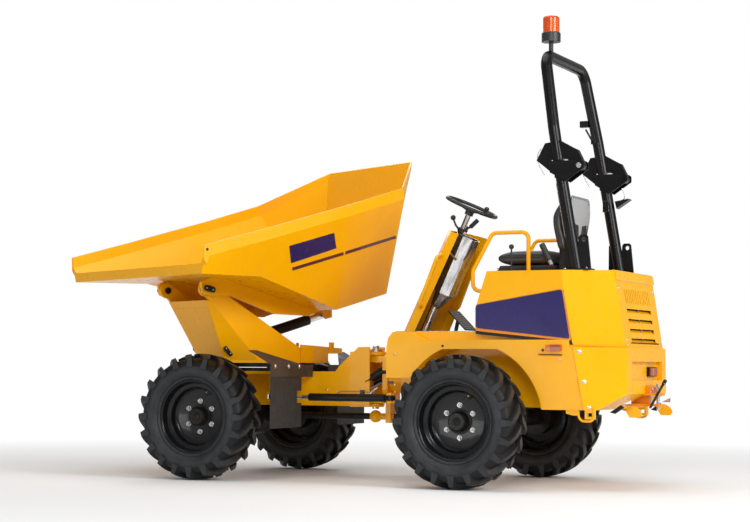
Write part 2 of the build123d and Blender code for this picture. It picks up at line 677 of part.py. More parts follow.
def rops_hoop():
    """Upper hoop, with the fold bracket behind each leg and the lock plate ahead of it."""
    z0 = LEG_TOP + HOOP_GAP
    corners = [(leg_x(z0), LEG_Y, z0), (leg_x(HOOP_KNEE_Z), LEG_Y - 8, HOOP_KNEE_Z),
               (HOOP_TOP_X, HOOP_HALF, HOOP_TOP), (HOOP_TOP_X, -HOOP_HALF, HOOP_TOP),
               (leg_x(HOOP_KNEE_Z), 8 - LEG_Y, HOOP_KNEE_Z), (leg_x(z0), -LEG_Y, z0)]
    path = FilletPolyline(*[Vector(*p) for p in corners], radius=HOOP_BEND)
    start = Plane(origin=path @ 0, z_dir=path % 0)
    tube = sweep(start * Circle(LEG_RADIUS), path=path)
    bracket = [(leg_x(2356) - 20, 2356), (-710, 2289), (-735, 2278), (-779, 2190), (-755, 2160), (-714, 2190),
               (leg_x(z0) - LEG_RADIUS - 18, z0 + 6), (leg_x(z0) - 10, z0 + 6)]
    lock = [(leg_x(2340) + 10, 2340), (-499, 2333), (-437, 2218), (-540, 2135), (-542, z0 + 4),
            (leg_x(z0) + 14, z0 + 4)]
    plates = []
    for way in (-1, 1):
        y0, y1 = sorted((way * (LEG_Y - BRACKET_HALF), way * (LEG_Y + BRACKET_HALF)))
        ear = side_plate(bracket, y0, y1) + along_y(*FOLD_PIVOT, FOLD_EAR, y0, y1)
        plates.append(ear - along_y(*FOLD_PIVOT, FOLD_PIN + FIT, y0 - 1, y1 + 1))
        y0, y1 = sorted((way * (LEG_Y - LOCK_HALF), way * (LEG_Y + LOCK_HALF)))
        plates.append(side_plate(lock, y0, y1))
    return fuse([tube] + plates)


def beacon_parts():
    """Stem and base, then lens, standing on the hoop's cross tube."""
    z0 = HOOP_TOP + LEG_RADIUS - 4
    z1 = z0 + BEACON_STEM[1]
    z2 = z1 + BEACON_BASE[1]
    foot = (Align.CENTER, Align.CENTER, Align.MIN)
    base = Pos(HOOP_TOP_X, BEACON_Y, z1) * Cylinder(BEACON_BASE[0], BEACON_BASE[1], align=foot)
    base = fillet(base.edges().group_by(Axis.Z)[-1], 8)
    stem = along_z(HOOP_TOP_X, BEACON_Y, BEACON_STEM[0], z0, z1) + base
    hoop = along_y(HOOP_TOP_X, HOOP_TOP, LEG_RADIUS, BEACON_Y - 60, BEACON_Y + 60)
    lens = Pos(HOOP_TOP_X, BEACON_Y, z2) * Cylinder(BEACON_LENS[0], BEACON_LENS[1], align=foot)
    return stem - hoop, fillet(lens.edges().group_by(Axis.Z)[-1], 16)


HITCH_X = -1140
HITCH_Z = (555, 645)
HITCH_BORE = 13


def tow_hitch():
    """Clevis at the tail with a vertical pin bore, on a web from the sloped floor."""
    low, high = HITCH_Z
    jaws = []
    for z0, z1 in ((low, low + 16), (high - 16, high)):
        plate = flat_plate([(-930, 70), (HITCH_X, 45), (HITCH_X, -45), (-930, -70)], z0, z1)
        jaws.append(plate + along_z(HITCH_X, 0, 45, z0, z1))
    web = block((HITCH_X + 55, -930), (-20, 20), (low + 8, high - 8))
    solid_tail = tail_solid() - tail_wedge()
    return fuse(jaws + [web]) - along_z(HITCH_X, 0, HITCH_BORE, low - 1, high + 1) - solid_tail


def lamps():
    """Side markers on the wings, and the rear lamps in the tail's pocket."""
    markers = both_sides(block((-664, -559), (SIDE_Y, SIDE_Y + 28), (925, 968)))
    back = TAIL_SEAM[3] + RECESS_DEPTH
    right = block((back - 30, back), (-268, -92), (756, 822))
    left = block((back - 12, back), (270, 338), (756, 822))
    return Compound([shape for shape in markers] + [right, left])


# ---------------------------------------------------------------- centre joint
def steer_lug(x, way, root_y, root_x, pinned):
    """Fork of two flat plates that holds one end of the steering cylinder.

    A pinned fork has its pin right through; the other has only the pin's heads outside the plates.
    """
    clear = STEER_EYE[1] / 2 + GAP
    parts = []
    for side in (-1, 1):
        z0 = STEER_CYL_Z + side * clear
        z1 = z0 + side * STEER_LUG
        low, high = sorted((z0, z1))
        parts.append(flat_plate([(root_x[0], root_y), (root_x[1], root_y),
                                 (x + way * 22, STEER_CYL_Y - 42), (x + way * 30, STEER_CYL_Y + 14),
                                 (x + way * 14, STEER_CYL_Y + 32), (x - way * 14, STEER_CYL_Y + 32),
                                 (x - way * 30, STEER_CYL_Y + 14)], low, high))
    reach = clear + STEER_LUG + 4
    pin = along_z(x, STEER_CYL_Y, STEER_PIN, STEER_CYL_Z - reach, STEER_CYL_Z + reach)
    if not pinned:
        pin = pin - along_z(x, STEER_CYL_Y, STEER_PIN + 1, STEER_CYL_Z - clear, STEER_CYL_Z + clear)
    parts.append(pin)
    return fuse(parts)


def centre_yoke():
    x0, x1 = YOKE_BACK_X, YOKE_BACK_X + YOKE_BACK_THICK
    back = block((x0, x1), (-YOKE_HALF_WIDTH, YOKE_HALF_WIDTH), (LOWER_EYE[0], UPPER_EYE[1]))
    trunnion = along_x(0, OSC_Z, TRUNNION_RADIUS, REAR_FRAME_FRONT - BEARING_LENGTH, x0)
    collar = along_x(0, OSC_Z, BEARING_RADIUS, REAR_FRAME_FRONT + GAP, x0)
    parts = [back, trunnion, collar]
    for low, high in (UPPER_EYE, LOWER_EYE):
        parts.append(along_z(PIVOT_X, 0, EYE_RADIUS, low, high))
        parts.append(block((x1, PIVOT_X), (-EYE_RADIUS, EYE_RADIUS), (low, high)))
    parts.append(steer_lug(STEER_REAR_X, 1, YOKE_HALF_WIDTH, (x0, x1), True))
    hanger = block(HANGER, (-45, 45), (AXLE_Z - 45, LOWER_EYE[0]))
    link = along_x(0, AXLE_Z, SHAFT_RADIUS, HANGER[0] - 12, PIVOT_X)
    ball = Pos(PIVOT_X, 0, AXLE_Z) * Sphere(JOINT_BALL_RADIUS)
    bores = [along_z(PIVOT_X, 0, PIN_RADIUS + FIT, low - 1, high + 1) for low, high in (UPPER_EYE, LOWER_EYE)]
    shape = fuse(parts + [hanger, link, ball])
    for bore in bores:
        shape = shape - bore
    return shape


# ---------------------------------------------------------------- front half
def front_frame():
    outline = [(NECK_REAR_X, FRAME_BOTTOM), (NECK_REAR_X, NECK_TOP), (1075, NECK_TOP), (1232, 816),
               (1265, FRAME_TOP), (FRAME_FRONT_X, FRAME_TOP), (FRAME_FRONT_X, 640), (2330, FRAME_BOTTOM)]
    cheek = side_plate(outline, NECK_OUTER_Y - PLATE, NECK_OUTER_Y)
    inner = NECK_OUTER_Y - PLATE
    deck = flat_plate([(DECK_REAR_X, DECK_HALF), (FRAME_FRONT_X, DECK_HALF), (FRAME_FRONT_X, -DECK_HALF),
                       (DECK_REAR_X, -DECK_HALF)], FRAME_TOP - 20, FRAME_TOP)
    spine = block((1265, DECK_REAR_X), (-inner, inner), (FRAME_TOP - PLATE, FRAME_TOP))
    belly = [block(x, (-inner, inner), (FRAME_BOTTOM, FRAME_BOTTOM + PLATE))
             for x in ((1072, 1780), (2270, 2330))]
    bulkhead = block((1062, 1062 + PLATE), (-inner, inner), (LOWER_EYE[1], UPPER_EYE[0]))
    nose = block((FRAME_FRONT_X - PLATE, FRAME_FRONT_X), (-inner, inner), (640, FRAME_TOP))
    ribs = [block((x, x + PLATE), (NECK_OUTER_Y, DECK_HALF - 20), (640, FRAME_TOP - 20)) for x in (1700, 2400)]
    ears = []
    for low, high, radius in ((UPPER_EYE[1] + GAP, UPPER_EYE[1] + GAP + EAR_THICK, UPPER_EAR_RADIUS),
                              (LOWER_EYE[0] - GAP - EAR_THICK, LOWER_EYE[0] - GAP, EYE_RADIUS)):
        web = flat_plate([(PIVOT_X, radius), (PIVOT_X + 95, inner), (PIVOT_X + 155, inner),
                          (PIVOT_X + 155, -inner), (PIVOT_X + 95, -inner), (PIVOT_X, -radius)], low, high)
        ears.append(web + along_z(PIVOT_X, 0, radius, low, high))
    lug = steer_lug(STEER_FRONT_X, -1, NECK_OUTER_Y, (STEER_FRONT_X + 50, STEER_FRONT_X - 50), False)
    shape = fuse(both_sides(cheek) + [deck, spine, bulkhead, nose] + belly + ears
                 + both_sides(ribs[0]) + both_sides(ribs[1]) + [lug])
    return shape - along_z(PIVOT_X, 0, PIN_RADIUS, 400, 1000)


def pivot_pins():
    top = UPPER_EYE[1] + GAP + EAR_THICK
    upper = along_z(PIVOT_X, 0, PIN_RADIUS, UPPER_EYE[0] - 4, top + 44) + along_z(PIVOT_X, 0, EYE_RADIUS - 6, top, top + 18)
    lower = along_z(PIVOT_X, 0, PIN_RADIUS, LOWER_EYE[0] - GAP - EAR_THICK - 14, LOWER_EYE[1] + 4)
    return Compound([upper, lower])


def slew_ring(z, outer, inner):
    return along_z(WHEEL_BASE, 0, outer, *z) - along_z(WHEEL_BASE, 0, inner, z[0] - 1, z[1] + 1)


def front_mudguards():
    y0, y1 = NECK_OUTER_Y, FLAP_Y[1]
    plate = block((FLAP_X - 8, FLAP_X), (y0, y1), GUARD_Z)
    top = GUARD_Z[1]
    slope = extrude(polygon([(FLAP_X - 8, y1, top), (GUARD_TOP[0], y1, GUARD_TOP[1]),
                             (GUARD_TOP[0], y1 - 110, GUARD_TOP[1]), (FLAP_X - 8, FLAP_Y[0], top)]),
                    amount=SHEET, dir=(0, 0, -1))
    return Compound(both_sides(plate + slope))


def mudflaps():
    flap = block((FLAP_X, FLAP_X + 6), FLAP_Y, (FLAP_Z[0], GUARD_Z[1] - 12))
    notch = block((FLAP_X - 1, FLAP_X + 7), (FLAP_Y[0] - 1, STEER_CYL_Y + NOTCH_REACH),
                  (STEER_CYL_Z - 44, STEER_CYL_Z + 44))
    return Compound(both_sides(flap - notch))


def propshaft(x0, x1):
    return along_x(0, AXLE_Z, SHAFT_RADIUS, x0, x1)


def front_shaft():
    x0, x1, width = JOINT_BLOCK
    half = width / 2
    shaft = propshaft(PIVOT_X + JOINT_BALL_RADIUS + GAP, WHEEL_BASE - NOSE_LENGTH)
    return shaft + block((x0, x1), (-half, half), (AXLE_Z - half, AXLE_Z + half))


# ---------------------------------------------------------------- on the slew ring
def nose_section(station, inset=0.0, rear=0.0):
    """Plan outline of the frame's nose at one height: facets from the arms to a flat front."""
    z, fold, front, half = station
    arm = ARM_V[1] - inset
    return polygon([(fold - rear, arm, z), (fold, arm, z), (front - inset, half - inset / 2, z),
                    (front - inset, inset / 2 - half, z), (fold, -arm, z), (fold - rear, -arm, z)])


def tail_plan(inset, rear):
    plan = [(u + (rear if index == 2 else 0), v - inset) for index, (u, v) in enumerate(TAIL_PLAN)]
    return plan + [(u, -v) for u, v in reversed(plan)]


def tail_walls():
    """Tapered side walls and rear wall of the tail, with a sloping top edge."""
    low, high = BASE_Z + 4, TAIL_TOP[0][1]
    walls = flat_plate(tail_plan(0, 0), low, high) - flat_plate(tail_plan(TAIL_WALL, TAIL_WALL), low - 1, high + 1)
    walls = walls - block((TAIL_PLAN[0][0] - 1, TAIL_PLAN[0][0] + 1), (-400, 400), (low - 1, high + 1))
    (ua, za), (ub, zb) = TAIL_TOP
    slope = side_plate([(ua, za), (ua, za + 40), (ub, za + 40), (ub, zb)], -400, 400)
    open_front = block((TAIL_PLAN[0][0] - TAIL_WALL - 1, 900), (TAIL_WALL - ARM_V[1], ARM_V[1] - TAIL_WALL),
                       (low - 1, high + 1))
    return walls - slope - open_front


def swivel_tail():
    """End of the tail, held above the tyres, with the rest posts for the skip."""
    end = tail_walls() & block((-900, TAIL_JOIN), (-400, 400), (TAIL_CLEAR_Z, TAIL_TOP[0][1] + 1))
    posts = []
    u, radius, post_top = POST
    for way in (-1, 1):
        posts.append(along_z(u, way * 236, radius, TAIL_CLEAR_Z, post_top))
    posts.append(along_z(u + 24, 243, radius, TAIL_CLEAR_Z, post_top) - block((TAIL_JOIN, 0), (0, 400), (0, 2000)))
    return fuse([end] + posts)


def swivel_frame():
    top = BASE_Z + BASE_THICK
    u0, u1 = TAIL_PLAN[1][0] - 60, BASE_REAR_U
    fold, front, half = NOSE_FOOT[1:]
    base = flat_plate([(front, half), (fold, ARM_V[1]), (u0, ARM_V[1]), (u1, 190), (u1, -190), (u0, -ARM_V[1]),
                       (fold, -ARM_V[1]), (front, -half)], BASE_Z, top)
    pu, pz = TIP_PIVOT
    outline = [(-392, top - 4), (NOSE_FOOT[1], top - 4), (NOSE_HEAD[1], NOSE_HEAD[0]), (pu + 20, pz - 40),
               (pu - 50, pz + 30), (431, 1332)]
    arm = side_plate(outline, *ARM_V) + along_y(pu, pz, TIP_BOSS, *ARM_V)
    rear = 12
    outer = loft([nose_section(NOSE_FOOT, 0, rear), nose_section(NOSE_HEAD, 0, rear)], ruled=True)
    share = 1 - NOSE_WALL / (NOSE_HEAD[0] - NOSE_FOOT[0])
    below = between(NOSE_FOOT, NOSE_HEAD, share)
    inner = loft([nose_section(NOSE_FOOT, NOSE_WALL, 60), nose_section(below, NOSE_WALL, 60)], ruled=True)
    slot = block((200, 700), (-66, 66), (880, 1092))
    ribs = []
    for way in (-1, 1):
        v0, v1 = sorted((way * PIN_RIB[0], way * PIN_RIB[1]))
        ribs.append(side_plate([(260, top - 4), (355, top - 4), (395, 950), (372, 966), (340, 962)], v0, v1))
    tail = tail_walls() - block((-900, TAIL_JOIN), (-400, 400), (0, 2000))
    bore = along_y(*LOWER_PIN, LOWER_PIN_RADIUS, -PIN_RIB[1] - 13, PIN_RIB[1] + 13)
    return fuse([base] + both_sides(arm) + [outer - inner - slot] + ribs + [tail]) - bore


def swivel_pins():
    """Tip pivot pins and the tip cylinder's lower pin, all held by the arms."""
    outer = RAIL_V[1] + 14
    tips = [along_y(*TIP_PIVOT, TIP_PIN, *sorted((way * (ARM_V[1]), way * outer))) for way in (-1, 1)]
    low = along_y(*LOWER_PIN, LOWER_PIN_RADIUS, -PIN_RIB[1] - 12, PIN_RIB[1] + 12)
    return Compound(tips + [low])


def skip_section(station, wall=0.0, lift=0.0, open_top=0.0):
    """Cross-section at a station; wall draws it in and open_top raises its rim."""
    foot_u, foot_z, foot_half, rim_u, rim_z, rim_half = station
    foot = Vector(foot_u, 0, foot_z)
    rise = Vector(rim_u - foot_u, 0, rim_z - foot_z)
    up = rise.normalized()
    low = foot + up * (wall + lift)
    band = foot + rise - up * RIM_BAND
    high = foot + rise + up * open_top
    rows = [(high, rim_half - wall), (band, rim_half - wall), (low, foot_half - wall)]
    left = [(p.X, half, p.Z) for p, half in rows]
    right = [(p.X, -half, p.Z) for p, half in reversed(rows)]
    return polygon(left + right)


def skip_shell():
    outer, inner = [], []
    shifted = list(SKIP_STATIONS)
    last = list(SKIP_STATIONS[-1])
    last[0] += SKIP_WALL
    last[3] += SKIP_WALL
    shifted[-1] = tuple(last)
    for index in range(len(SKIP_STATIONS) - 1):
        outer.append(loft([skip_section(s) for s in SKIP_STATIONS[index:index + 2]], ruled=True))
        lift = LIP_HEIGHT - SKIP_WALL if index == 0 else 0
        pair = [skip_section(shifted[index], SKIP_WALL, lift, 30), skip_section(shifted[index + 1], SKIP_WALL, 0, 30)]
        inner.append(loft(pair, ruled=True))
    front = SKIP_STATIONS[0]
    ahead = (front[0] + 60, front[1] + 24, front[2], front[3] + 60, front[4], front[5])
    mouth = loft([skip_section(ahead, SKIP_WALL, LIP_HEIGHT - SKIP_WALL, 30),
                  skip_section(front, SKIP_WALL, LIP_HEIGHT - SKIP_WALL, 30)], ruled=True)
    return fuse(outer) - fuse(inner) - mouth


def skip_rails():
    """Two plates under the floor that carry the tip pivots, and the rod's fork."""
    pu, pz = TIP_PIVOT
    outline = [(pu + 50, pz + 60), (pu + 55, pz - 20), (pu + 10, pz - 52), (429, 1278), (89, 1066), (-210, 984),
               (-424, 998), (-424, 1120), (0, 1260), (380, 1480)]
    plate = side_plate(outline, *RAIL_V) - along_y(pu, pz, TIP_PIN + FIT, RAIL_V[0] - 1, RAIL_V[1] + 1)
    eye_u, eye_z = tip_eye_lowered()
    fork = []
    clear = TIP_EYE[1] / 2 + GAP
    for way in (-1, 1):
        v0, v1 = sorted((way * clear, way * (clear + 14)))
        fork.append(side_plate([(eye_u - 75, 1100), (eye_u - 30, eye_z - 30), (eye_u + 30, eye_z - 30),
                                (eye_u + 110, 1100)], v0, v1))
    pin = along_y(eye_u, eye_z, 16, clear + 6, clear + 14)
    outside = fuse([loft([skip_section(s) for s in SKIP_STATIONS[index:index + 2]], ruled=True)
                    for index in range(len(SKIP_STATIONS) - 1)])
    return Compound([shape - outside for shape in both_sides(plate) + fork])


def tip_eye_lowered():
    """Rod eye's place with the skip down on its posts."""
    turn = math.radians(TIP)
    du, dz = TIP_EYE_REST[0] - TIP_PIVOT[0], TIP_EYE_REST[1] - TIP_PIVOT[1]
    return (TIP_PIVOT[0] + du * math.cos(turn) - dz * math.sin(turn),
            TIP_PIVOT[1] + du * math.sin(turn) + dz * math.cos(turn))


# ---------------------------------------------------------------- cylinders
def cylinder_pair(start, end, across, barrel_radius, barrel_end, rod_radius, rod_start,
                  eye, neck, start_pin):
    """Barrel with its eye at start, and rod with its eye at end, on a line between two pins.

    The rod's eye carries its own pin, so it can leave the fork's middle as the linkage moves.
    """
    start, end, across = Vector(*start), Vector(*end), Vector(*across)
    way = (end - start).normalized()
    radius, thick = eye

    def lug(centre):
        a, b = centre - across * (thick / 2), centre + across * (thick / 2)
        return rod(a, b, radius), rod(a - across, b + across, start_pin + FIT)
    eye_a, bore_a = lug(start)
    eye_b = lug(end)[0]
    shoulder = start + way * (radius + neck)
    barrel = eye_a + rod(start, shoulder, thick / 2 - 1) - bore_a
    barrel = barrel + rod(shoulder, start + way * barrel_end, barrel_radius)
    barrel = barrel - rod(shoulder + way * 20, start + way * (barrel_end + 1), rod_radius + FIT)
    piston_rod = rod(start + way * rod_start, end - way * (radius * 0.6), rod_radius) + eye_b
    return barrel, piston_rod


# ---------------------------------------------------------------- assembly
def place_swivel(shape):
    return Pos(WHEEL_BASE, 0, 0) * Rot(0, 0, SWIVEL) * shape


def place_skip(shape):
    pivot = (TIP_PIVOT[0], 0, TIP_PIVOT[1])
    back = tuple(-value for value in pivot)
    return place_swivel(Pos(*pivot) * Rot(0, TIP, 0) * Pos(*back) * shape)


def build_parts():
    """All sub-components in the machine's frame, by node name."""
    half = TRACK / 2
    beacon_base, beacon_lens = beacon_parts()
    rear_nose = NOSE_LENGTH
    steer_barrel, steer_rod = cylinder_pair(
        (STEER_REAR_X, STEER_CYL_Y, STEER_CYL_Z), (STEER_FRONT_X, STEER_CYL_Y, STEER_CYL_Z), (0, 0, 1),
        STEER_BARREL_RADIUS, STEER_BARREL_END, STEER_ROD_RADIUS, STEER_ROD_START, STEER_EYE, 14, STEER_PIN)
    tip_barrel, tip_rod = cylinder_pair(
        (LOWER_PIN[0], 0, LOWER_PIN[1]), (TIP_EYE_REST[0], 0, TIP_EYE_REST[1]), (0, 1, 0),
        TIP_BARREL_RADIUS, TIP_BARREL_END, TIP_ROD_RADIUS, TIP_ROD_START, TIP_EYE, 4, LOWER_PIN_RADIUS)
    parts = {
        "rear_frame": rear_frame(),
        "rear_body": rear_body(),
        "rear_wings": Compound(both_sides(wing())),
        "rear_axle": axle(0, 1, (RAIL_INNER_Y, RAIL_OUTER_Y), RAIL_BOTTOM),
        "engine_block": block(*ENGINE_BOX),
        "hood": hood(),
        "rear_grille": rear_grille(),
        "side_boxes": Compound(both_sides(side_box())),
        "seat_box": seat_box(),
        "floor_plate": floor_plate(),
        "console": console(),
        "steering_column": steering_column(),
        "control_levers": control_levers(),
        "handrails": Compound(both_sides(handrail())),
        "seat_cushion": seat_cushion(),
        "seat_back": seat_back(),
        "rops_legs": Compound(both_sides(rops_leg())),
        "tow_hitch": tow_hitch(),
        "lamps": lamps(),
        "rear_propshaft": propshaft(rear_nose, HANGER[0] - 12 - GAP),
        "steering_wheel": steering_wheel(),
        "rops_hoop": rops_hoop(),
        "beacon_base": beacon_base,
        "beacon_lens": beacon_lens,
        "centre_yoke": centre_yoke(),
        "front_frame": front_frame(),
        "pivot_pins": pivot_pins(),
        "front_axle": axle(WHEEL_BASE, -1, (NECK_OUTER_Y - PLATE, NECK_OUTER_Y), FRAME_BOTTOM),
        "front_propshaft": front_shaft(),
        "slew_ring": slew_ring(RING_Z, RING_RADIUS, RING_INNER),
        "front_mudguards": front_mudguards(),
        "mudflaps": mudflaps(),
        "slew_ring_upper": slew_ring(UPPER_RING_Z, RING_RADIUS - 15, RING_INNER),
        "swivel_frame": place_swivel(swivel_frame()),
        "swivel_tail": place_swivel(swivel_tail()),
        "swivel_pins": place_swivel(swivel_pins()),
        "skip_shell": place_skip(skip_shell()),
        "skip_rails": place_skip(skip_rails()),
        "tip_barrel": place_swivel(tip_barrel),
        "tip_rod": place_swivel(tip_rod),
        "steer_barrel": steer_barrel,
        "steer_rod": steer_rod,
    }
    for end, x in (("rear", 0), ("front", WHEEL_BASE)):
        for side, way in (("left", 1), ("right", -1)):
            face = Rot(0, 0, 0 if way > 0 else 180)
            parts[f"tyre_{end}_{side}"] = Pos(x, way * half, AXLE_Z) * face * tyre()
            parts[f"rim_{end}_{side}"] = Pos(x, way * half, AXLE_Z) * face * rim()
    return parts


def origin_shift(parts):
    """Moves the bottom centre of the whole machine's box to the origin."""
    box = Compound([shape for shape in parts.values()]).bounding_box()
    return (-round((box.min.X + box.max.X) / 2), -round((box.min.Y + box.max.Y) / 2), 0)


def main():
    os.makedirs("parts", exist_ok=True)
    parts = build_parts()
    shift = origin_shift(parts)
    print("nodes", len(parts), "shift", shift)
    for name, shape in parts.items():
        export_step(Pos(*shift) * shape, f"parts/{name}.step")


if __name__ == "__main__":
    main()
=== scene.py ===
import json
from math import copysign, cos, exp, pi, radians, sin

import bmesh
import bpy
from mathutils import Matrix, Vector
from mathutils.bvhtree import BVHTree

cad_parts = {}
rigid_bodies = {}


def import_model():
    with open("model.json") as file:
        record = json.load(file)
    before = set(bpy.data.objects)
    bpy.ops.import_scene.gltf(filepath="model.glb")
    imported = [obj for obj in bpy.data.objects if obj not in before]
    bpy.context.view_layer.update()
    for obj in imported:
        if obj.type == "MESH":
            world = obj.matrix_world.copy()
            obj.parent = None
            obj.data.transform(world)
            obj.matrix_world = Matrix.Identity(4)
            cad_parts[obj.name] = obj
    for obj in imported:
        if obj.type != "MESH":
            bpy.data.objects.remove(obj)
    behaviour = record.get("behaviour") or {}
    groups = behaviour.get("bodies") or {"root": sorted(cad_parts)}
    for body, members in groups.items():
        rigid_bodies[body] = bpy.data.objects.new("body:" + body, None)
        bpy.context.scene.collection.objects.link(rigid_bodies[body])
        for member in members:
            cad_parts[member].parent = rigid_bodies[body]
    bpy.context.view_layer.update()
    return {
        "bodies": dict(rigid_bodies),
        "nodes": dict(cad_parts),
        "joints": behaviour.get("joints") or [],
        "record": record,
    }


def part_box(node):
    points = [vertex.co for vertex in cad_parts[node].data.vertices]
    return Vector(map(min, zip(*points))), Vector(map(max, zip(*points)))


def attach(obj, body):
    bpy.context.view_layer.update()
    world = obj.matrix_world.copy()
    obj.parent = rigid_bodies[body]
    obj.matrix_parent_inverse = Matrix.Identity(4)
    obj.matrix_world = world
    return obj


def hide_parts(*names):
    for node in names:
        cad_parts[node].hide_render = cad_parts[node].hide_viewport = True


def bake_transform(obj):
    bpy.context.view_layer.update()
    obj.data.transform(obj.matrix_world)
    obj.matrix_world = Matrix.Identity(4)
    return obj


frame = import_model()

MM = 0.001
NODES = frame["nodes"]

# ---- frames
# The machine's own frame: x = 0 on the rear axle, +X forward, +Y left, z = 0 on the ground.
LEFT, UP, BACK = (0, 1, 0), (0, 0, 1), (-1, 0, 0)
REAR_TYRES = [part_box("tyre_rear_left"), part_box("tyre_rear_right")]
AXLE_X = (REAR_TYRES[0][0].x + REAR_TYRES[0][1].x) / 2
MID_Y = (REAR_TYRES[0][1].y + REAR_TYRES[1][0].y) / 2
FRONT_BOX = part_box("tyre_front_left")
WHEEL_BASE = (FRONT_BOX[0].x + FRONT_BOX[1].x) / 2 - AXLE_X
SWIVEL = radians(63.0)  # the skip as it stands in the model
TIP = radians(14.0)
TIP_PIVOT = (606, 1374)  # x and z of the skip's hinge pins in the swung frame

MACHINE = Matrix.Translation((AXLE_X, MID_Y, 0))
SWUNG = MACHINE @ Matrix.Translation((WHEEL_BASE, 0, 0)) @ Matrix.Rotation(SWIVEL, 4, "Z")
_pivot = Matrix.Translation((TIP_PIVOT[0] * MM, 0, TIP_PIVOT[1] * MM))
TIPPED = SWUNG @ _pivot @ Matrix.Rotation(TIP, 4, "Y") @ _pivot.inverted()
SIDES = (("left", MACHINE), ("right", MACHINE @ Matrix.Scale(-1, 4, LEFT)))


# ---- materials
def new_material(name):
    m = bpy.data.materials.new(name)
    m.use_nodes = True
    return m, m.node_tree, m.node_tree.nodes["Principled BSDF"]


def link(a, b):
    a.id_data.links.new(a, b)


def node(tree, kind, **values):
    """New shader node with its inputs set; an underscore in a key stands for a space."""
    n = tree.nodes.new("ShaderNode" + kind)
    setting(n, **values)
    return n


def setting(shader, **values):
    """Sets inputs that nothing is linked to."""
    for key, value in values.items():
        shader.inputs[key.replace("_", " ")].default_value = value


def coordinates(tree, scale=(1.0, 1.0, 1.0), turn=0.0):
    """Object coordinates, turned about z and scaled."""
    coord = node(tree, "TexCoord")
    mapping = node(tree, "Mapping", Rotation=(0, 0, turn), Scale=scale)
    link(coord.outputs["Object"], mapping.inputs["Vector"])
    return mapping.outputs["Vector"]


def length(vector):
    n = node(vector.id_data, "VectorMath")
    n.operation = "LENGTH"
    link(vector, n.inputs[0])
    return n.outputs["Value"]


def combined(operation, a, b):
    n = node(a.id_data, "Math")
    n.operation = operation
    link(a, n.inputs[0])
    link(b, n.inputs[1])
    return n.outputs[0]


def noise(tree, scale, detail=3.0, rough=0.55, stretch=(1.0, 1.0, 1.0)):
    n = node(tree, "TexNoise", Scale=scale, Detail=detail, Roughness=rough)
    link(coordinates(tree, stretch), n.inputs["Vector"])
    return n.outputs["Fac"]


def spread(value, low, high, out_low=0.0, out_high=1.0):
    """The value carried from one range to another."""
    r = node(value.id_data, "MapRange", From_Min=low, From_Max=high, To_Min=out_low, To_Max=out_high)
    link(value, r.inputs["Value"])
    return r.outputs["Result"]


def mixed(factor, a, b):
    """Colour between a and b; each is a colour or a socket."""
    m = node(factor.id_data, "Mix")
    m.data_type = "RGBA"
    for socket, value in ((m.inputs["A"], a), (m.inputs["B"], b)):
        if isinstance(value, tuple):
            socket.default_value = (*value, 1.0)
        else:
            link(value, socket)
    link(factor, m.inputs["Factor"])
    return m.outputs["Result"]


def bumped(shader, height, strength, distance):
    b = node(height.id_data, "Bump", Strength=strength, Distance=distance)
    link(height, b.inputs["Height"])
    link(b.outputs["Normal"], shader.inputs["Normal"])


def surfaced(shader, base, pattern, low, high):
    """Colour, and a roughness that wanders between two values with a pattern."""
    link(base, shader.inputs["Base Color"])
    link(spread(pattern, 0.3, 0.7, low, high), shader.inputs["Roughness"])


def shade(color, factor, plus=0.0):
    """The colour made darker or paler."""
    return tuple(min(1.0, c * factor + plus) for c in color)


DIRT = (0.19, 0.13, 0.07)


def paint(name, color, rough, vary, coat, grime=0.0, peel=0.05):
    """Sprayed paint with a wandering tone, and dirt and orange peel where asked."""
    m, tree, p = new_material(name + "_paint")
    tone = spread(noise(tree, 1.7, 2.0), 0.35, 0.65)
    base = mixed(tone, shade(color, 1 - vary), shade(color, 1 + vary * 0.5))
    if grime:
        base = mixed(spread(noise(tree, 9.0, 6.0, 0.65), 0.52, 0.78, 0.0, grime), base, DIRT)
    surfaced(p, base, noise(tree, 14.0, 4.0), rough * 0.8, rough * 1.25)
    setting(p, Coat_Weight=coat, Coat_Roughness=0.06, Specular_IOR_Level=0.2)
    if peel:
        bumped(p, noise(tree, 420.0, 2.0), peel, 0.0006)
    return m


def rubber(name, color, scale=260.0, strength=0.25, dust=0.25):
    m, tree, p = new_material(name)
    worn = spread(noise(tree, 11.0, 6.0, 0.62), 0.42, 0.75, 0.0, dust)
    surfaced(p, mixed(worn, color, shade(color, 1.7, 0.012)), noise(tree, 30.0, 4.0), 0.48, 0.7)
    setting(p, Specular_IOR_Level=0.3)
    bumped(p, noise(tree, scale, 3.0), strength, 0.0012)
    return m


def metal(name, color, rough, bump=0.06, vary=0.15):
    m, tree, p = new_material(name)
    setting(p, Metallic=1.0)
    base = mixed(noise(tree, 30.0, 4.0, 0.6), shade(color, 1 - vary), color)
    surfaced(p, base, noise(tree, 80.0, 3.0, 0.5), rough * 0.75, rough * 1.3)
    bumped(p, noise(tree, 300.0, 2.0, 0.5), bump, 0.0005)
    return m


def vinyl(name, color):
    """Grained seat cover."""
    m, tree, p = new_material(name)
    cells = node(tree, "TexVoronoi", Scale=430.0)
    link(coordinates(tree), cells.inputs["Vector"])
    tone = spread(noise(tree, 6.0, 4.0), 0.35, 0.7)
    surfaced(p, mixed(tone, color, shade(color, 1.5, 0.004)), noise(tree, 20.0, 3.0), 0.38, 0.52)
    setting(p, Coat_Weight=0.12)
    bumped(p, cells.outputs["Distance"], 0.35, 0.0006)
    return m


def plastic(name, color, rough=0.42):
    m, tree, p = new_material(name)
    base = mixed(noise(tree, 5.0, 3.0), shade(color, 0.85), shade(color, 1.15))
    surfaced(p, base, noise(tree, 60.0, 3.0), rough * 0.85, rough * 1.15)
    bumped(p, noise(tree, 650.0, 2.0), 0.15, 0.0005)
    return m


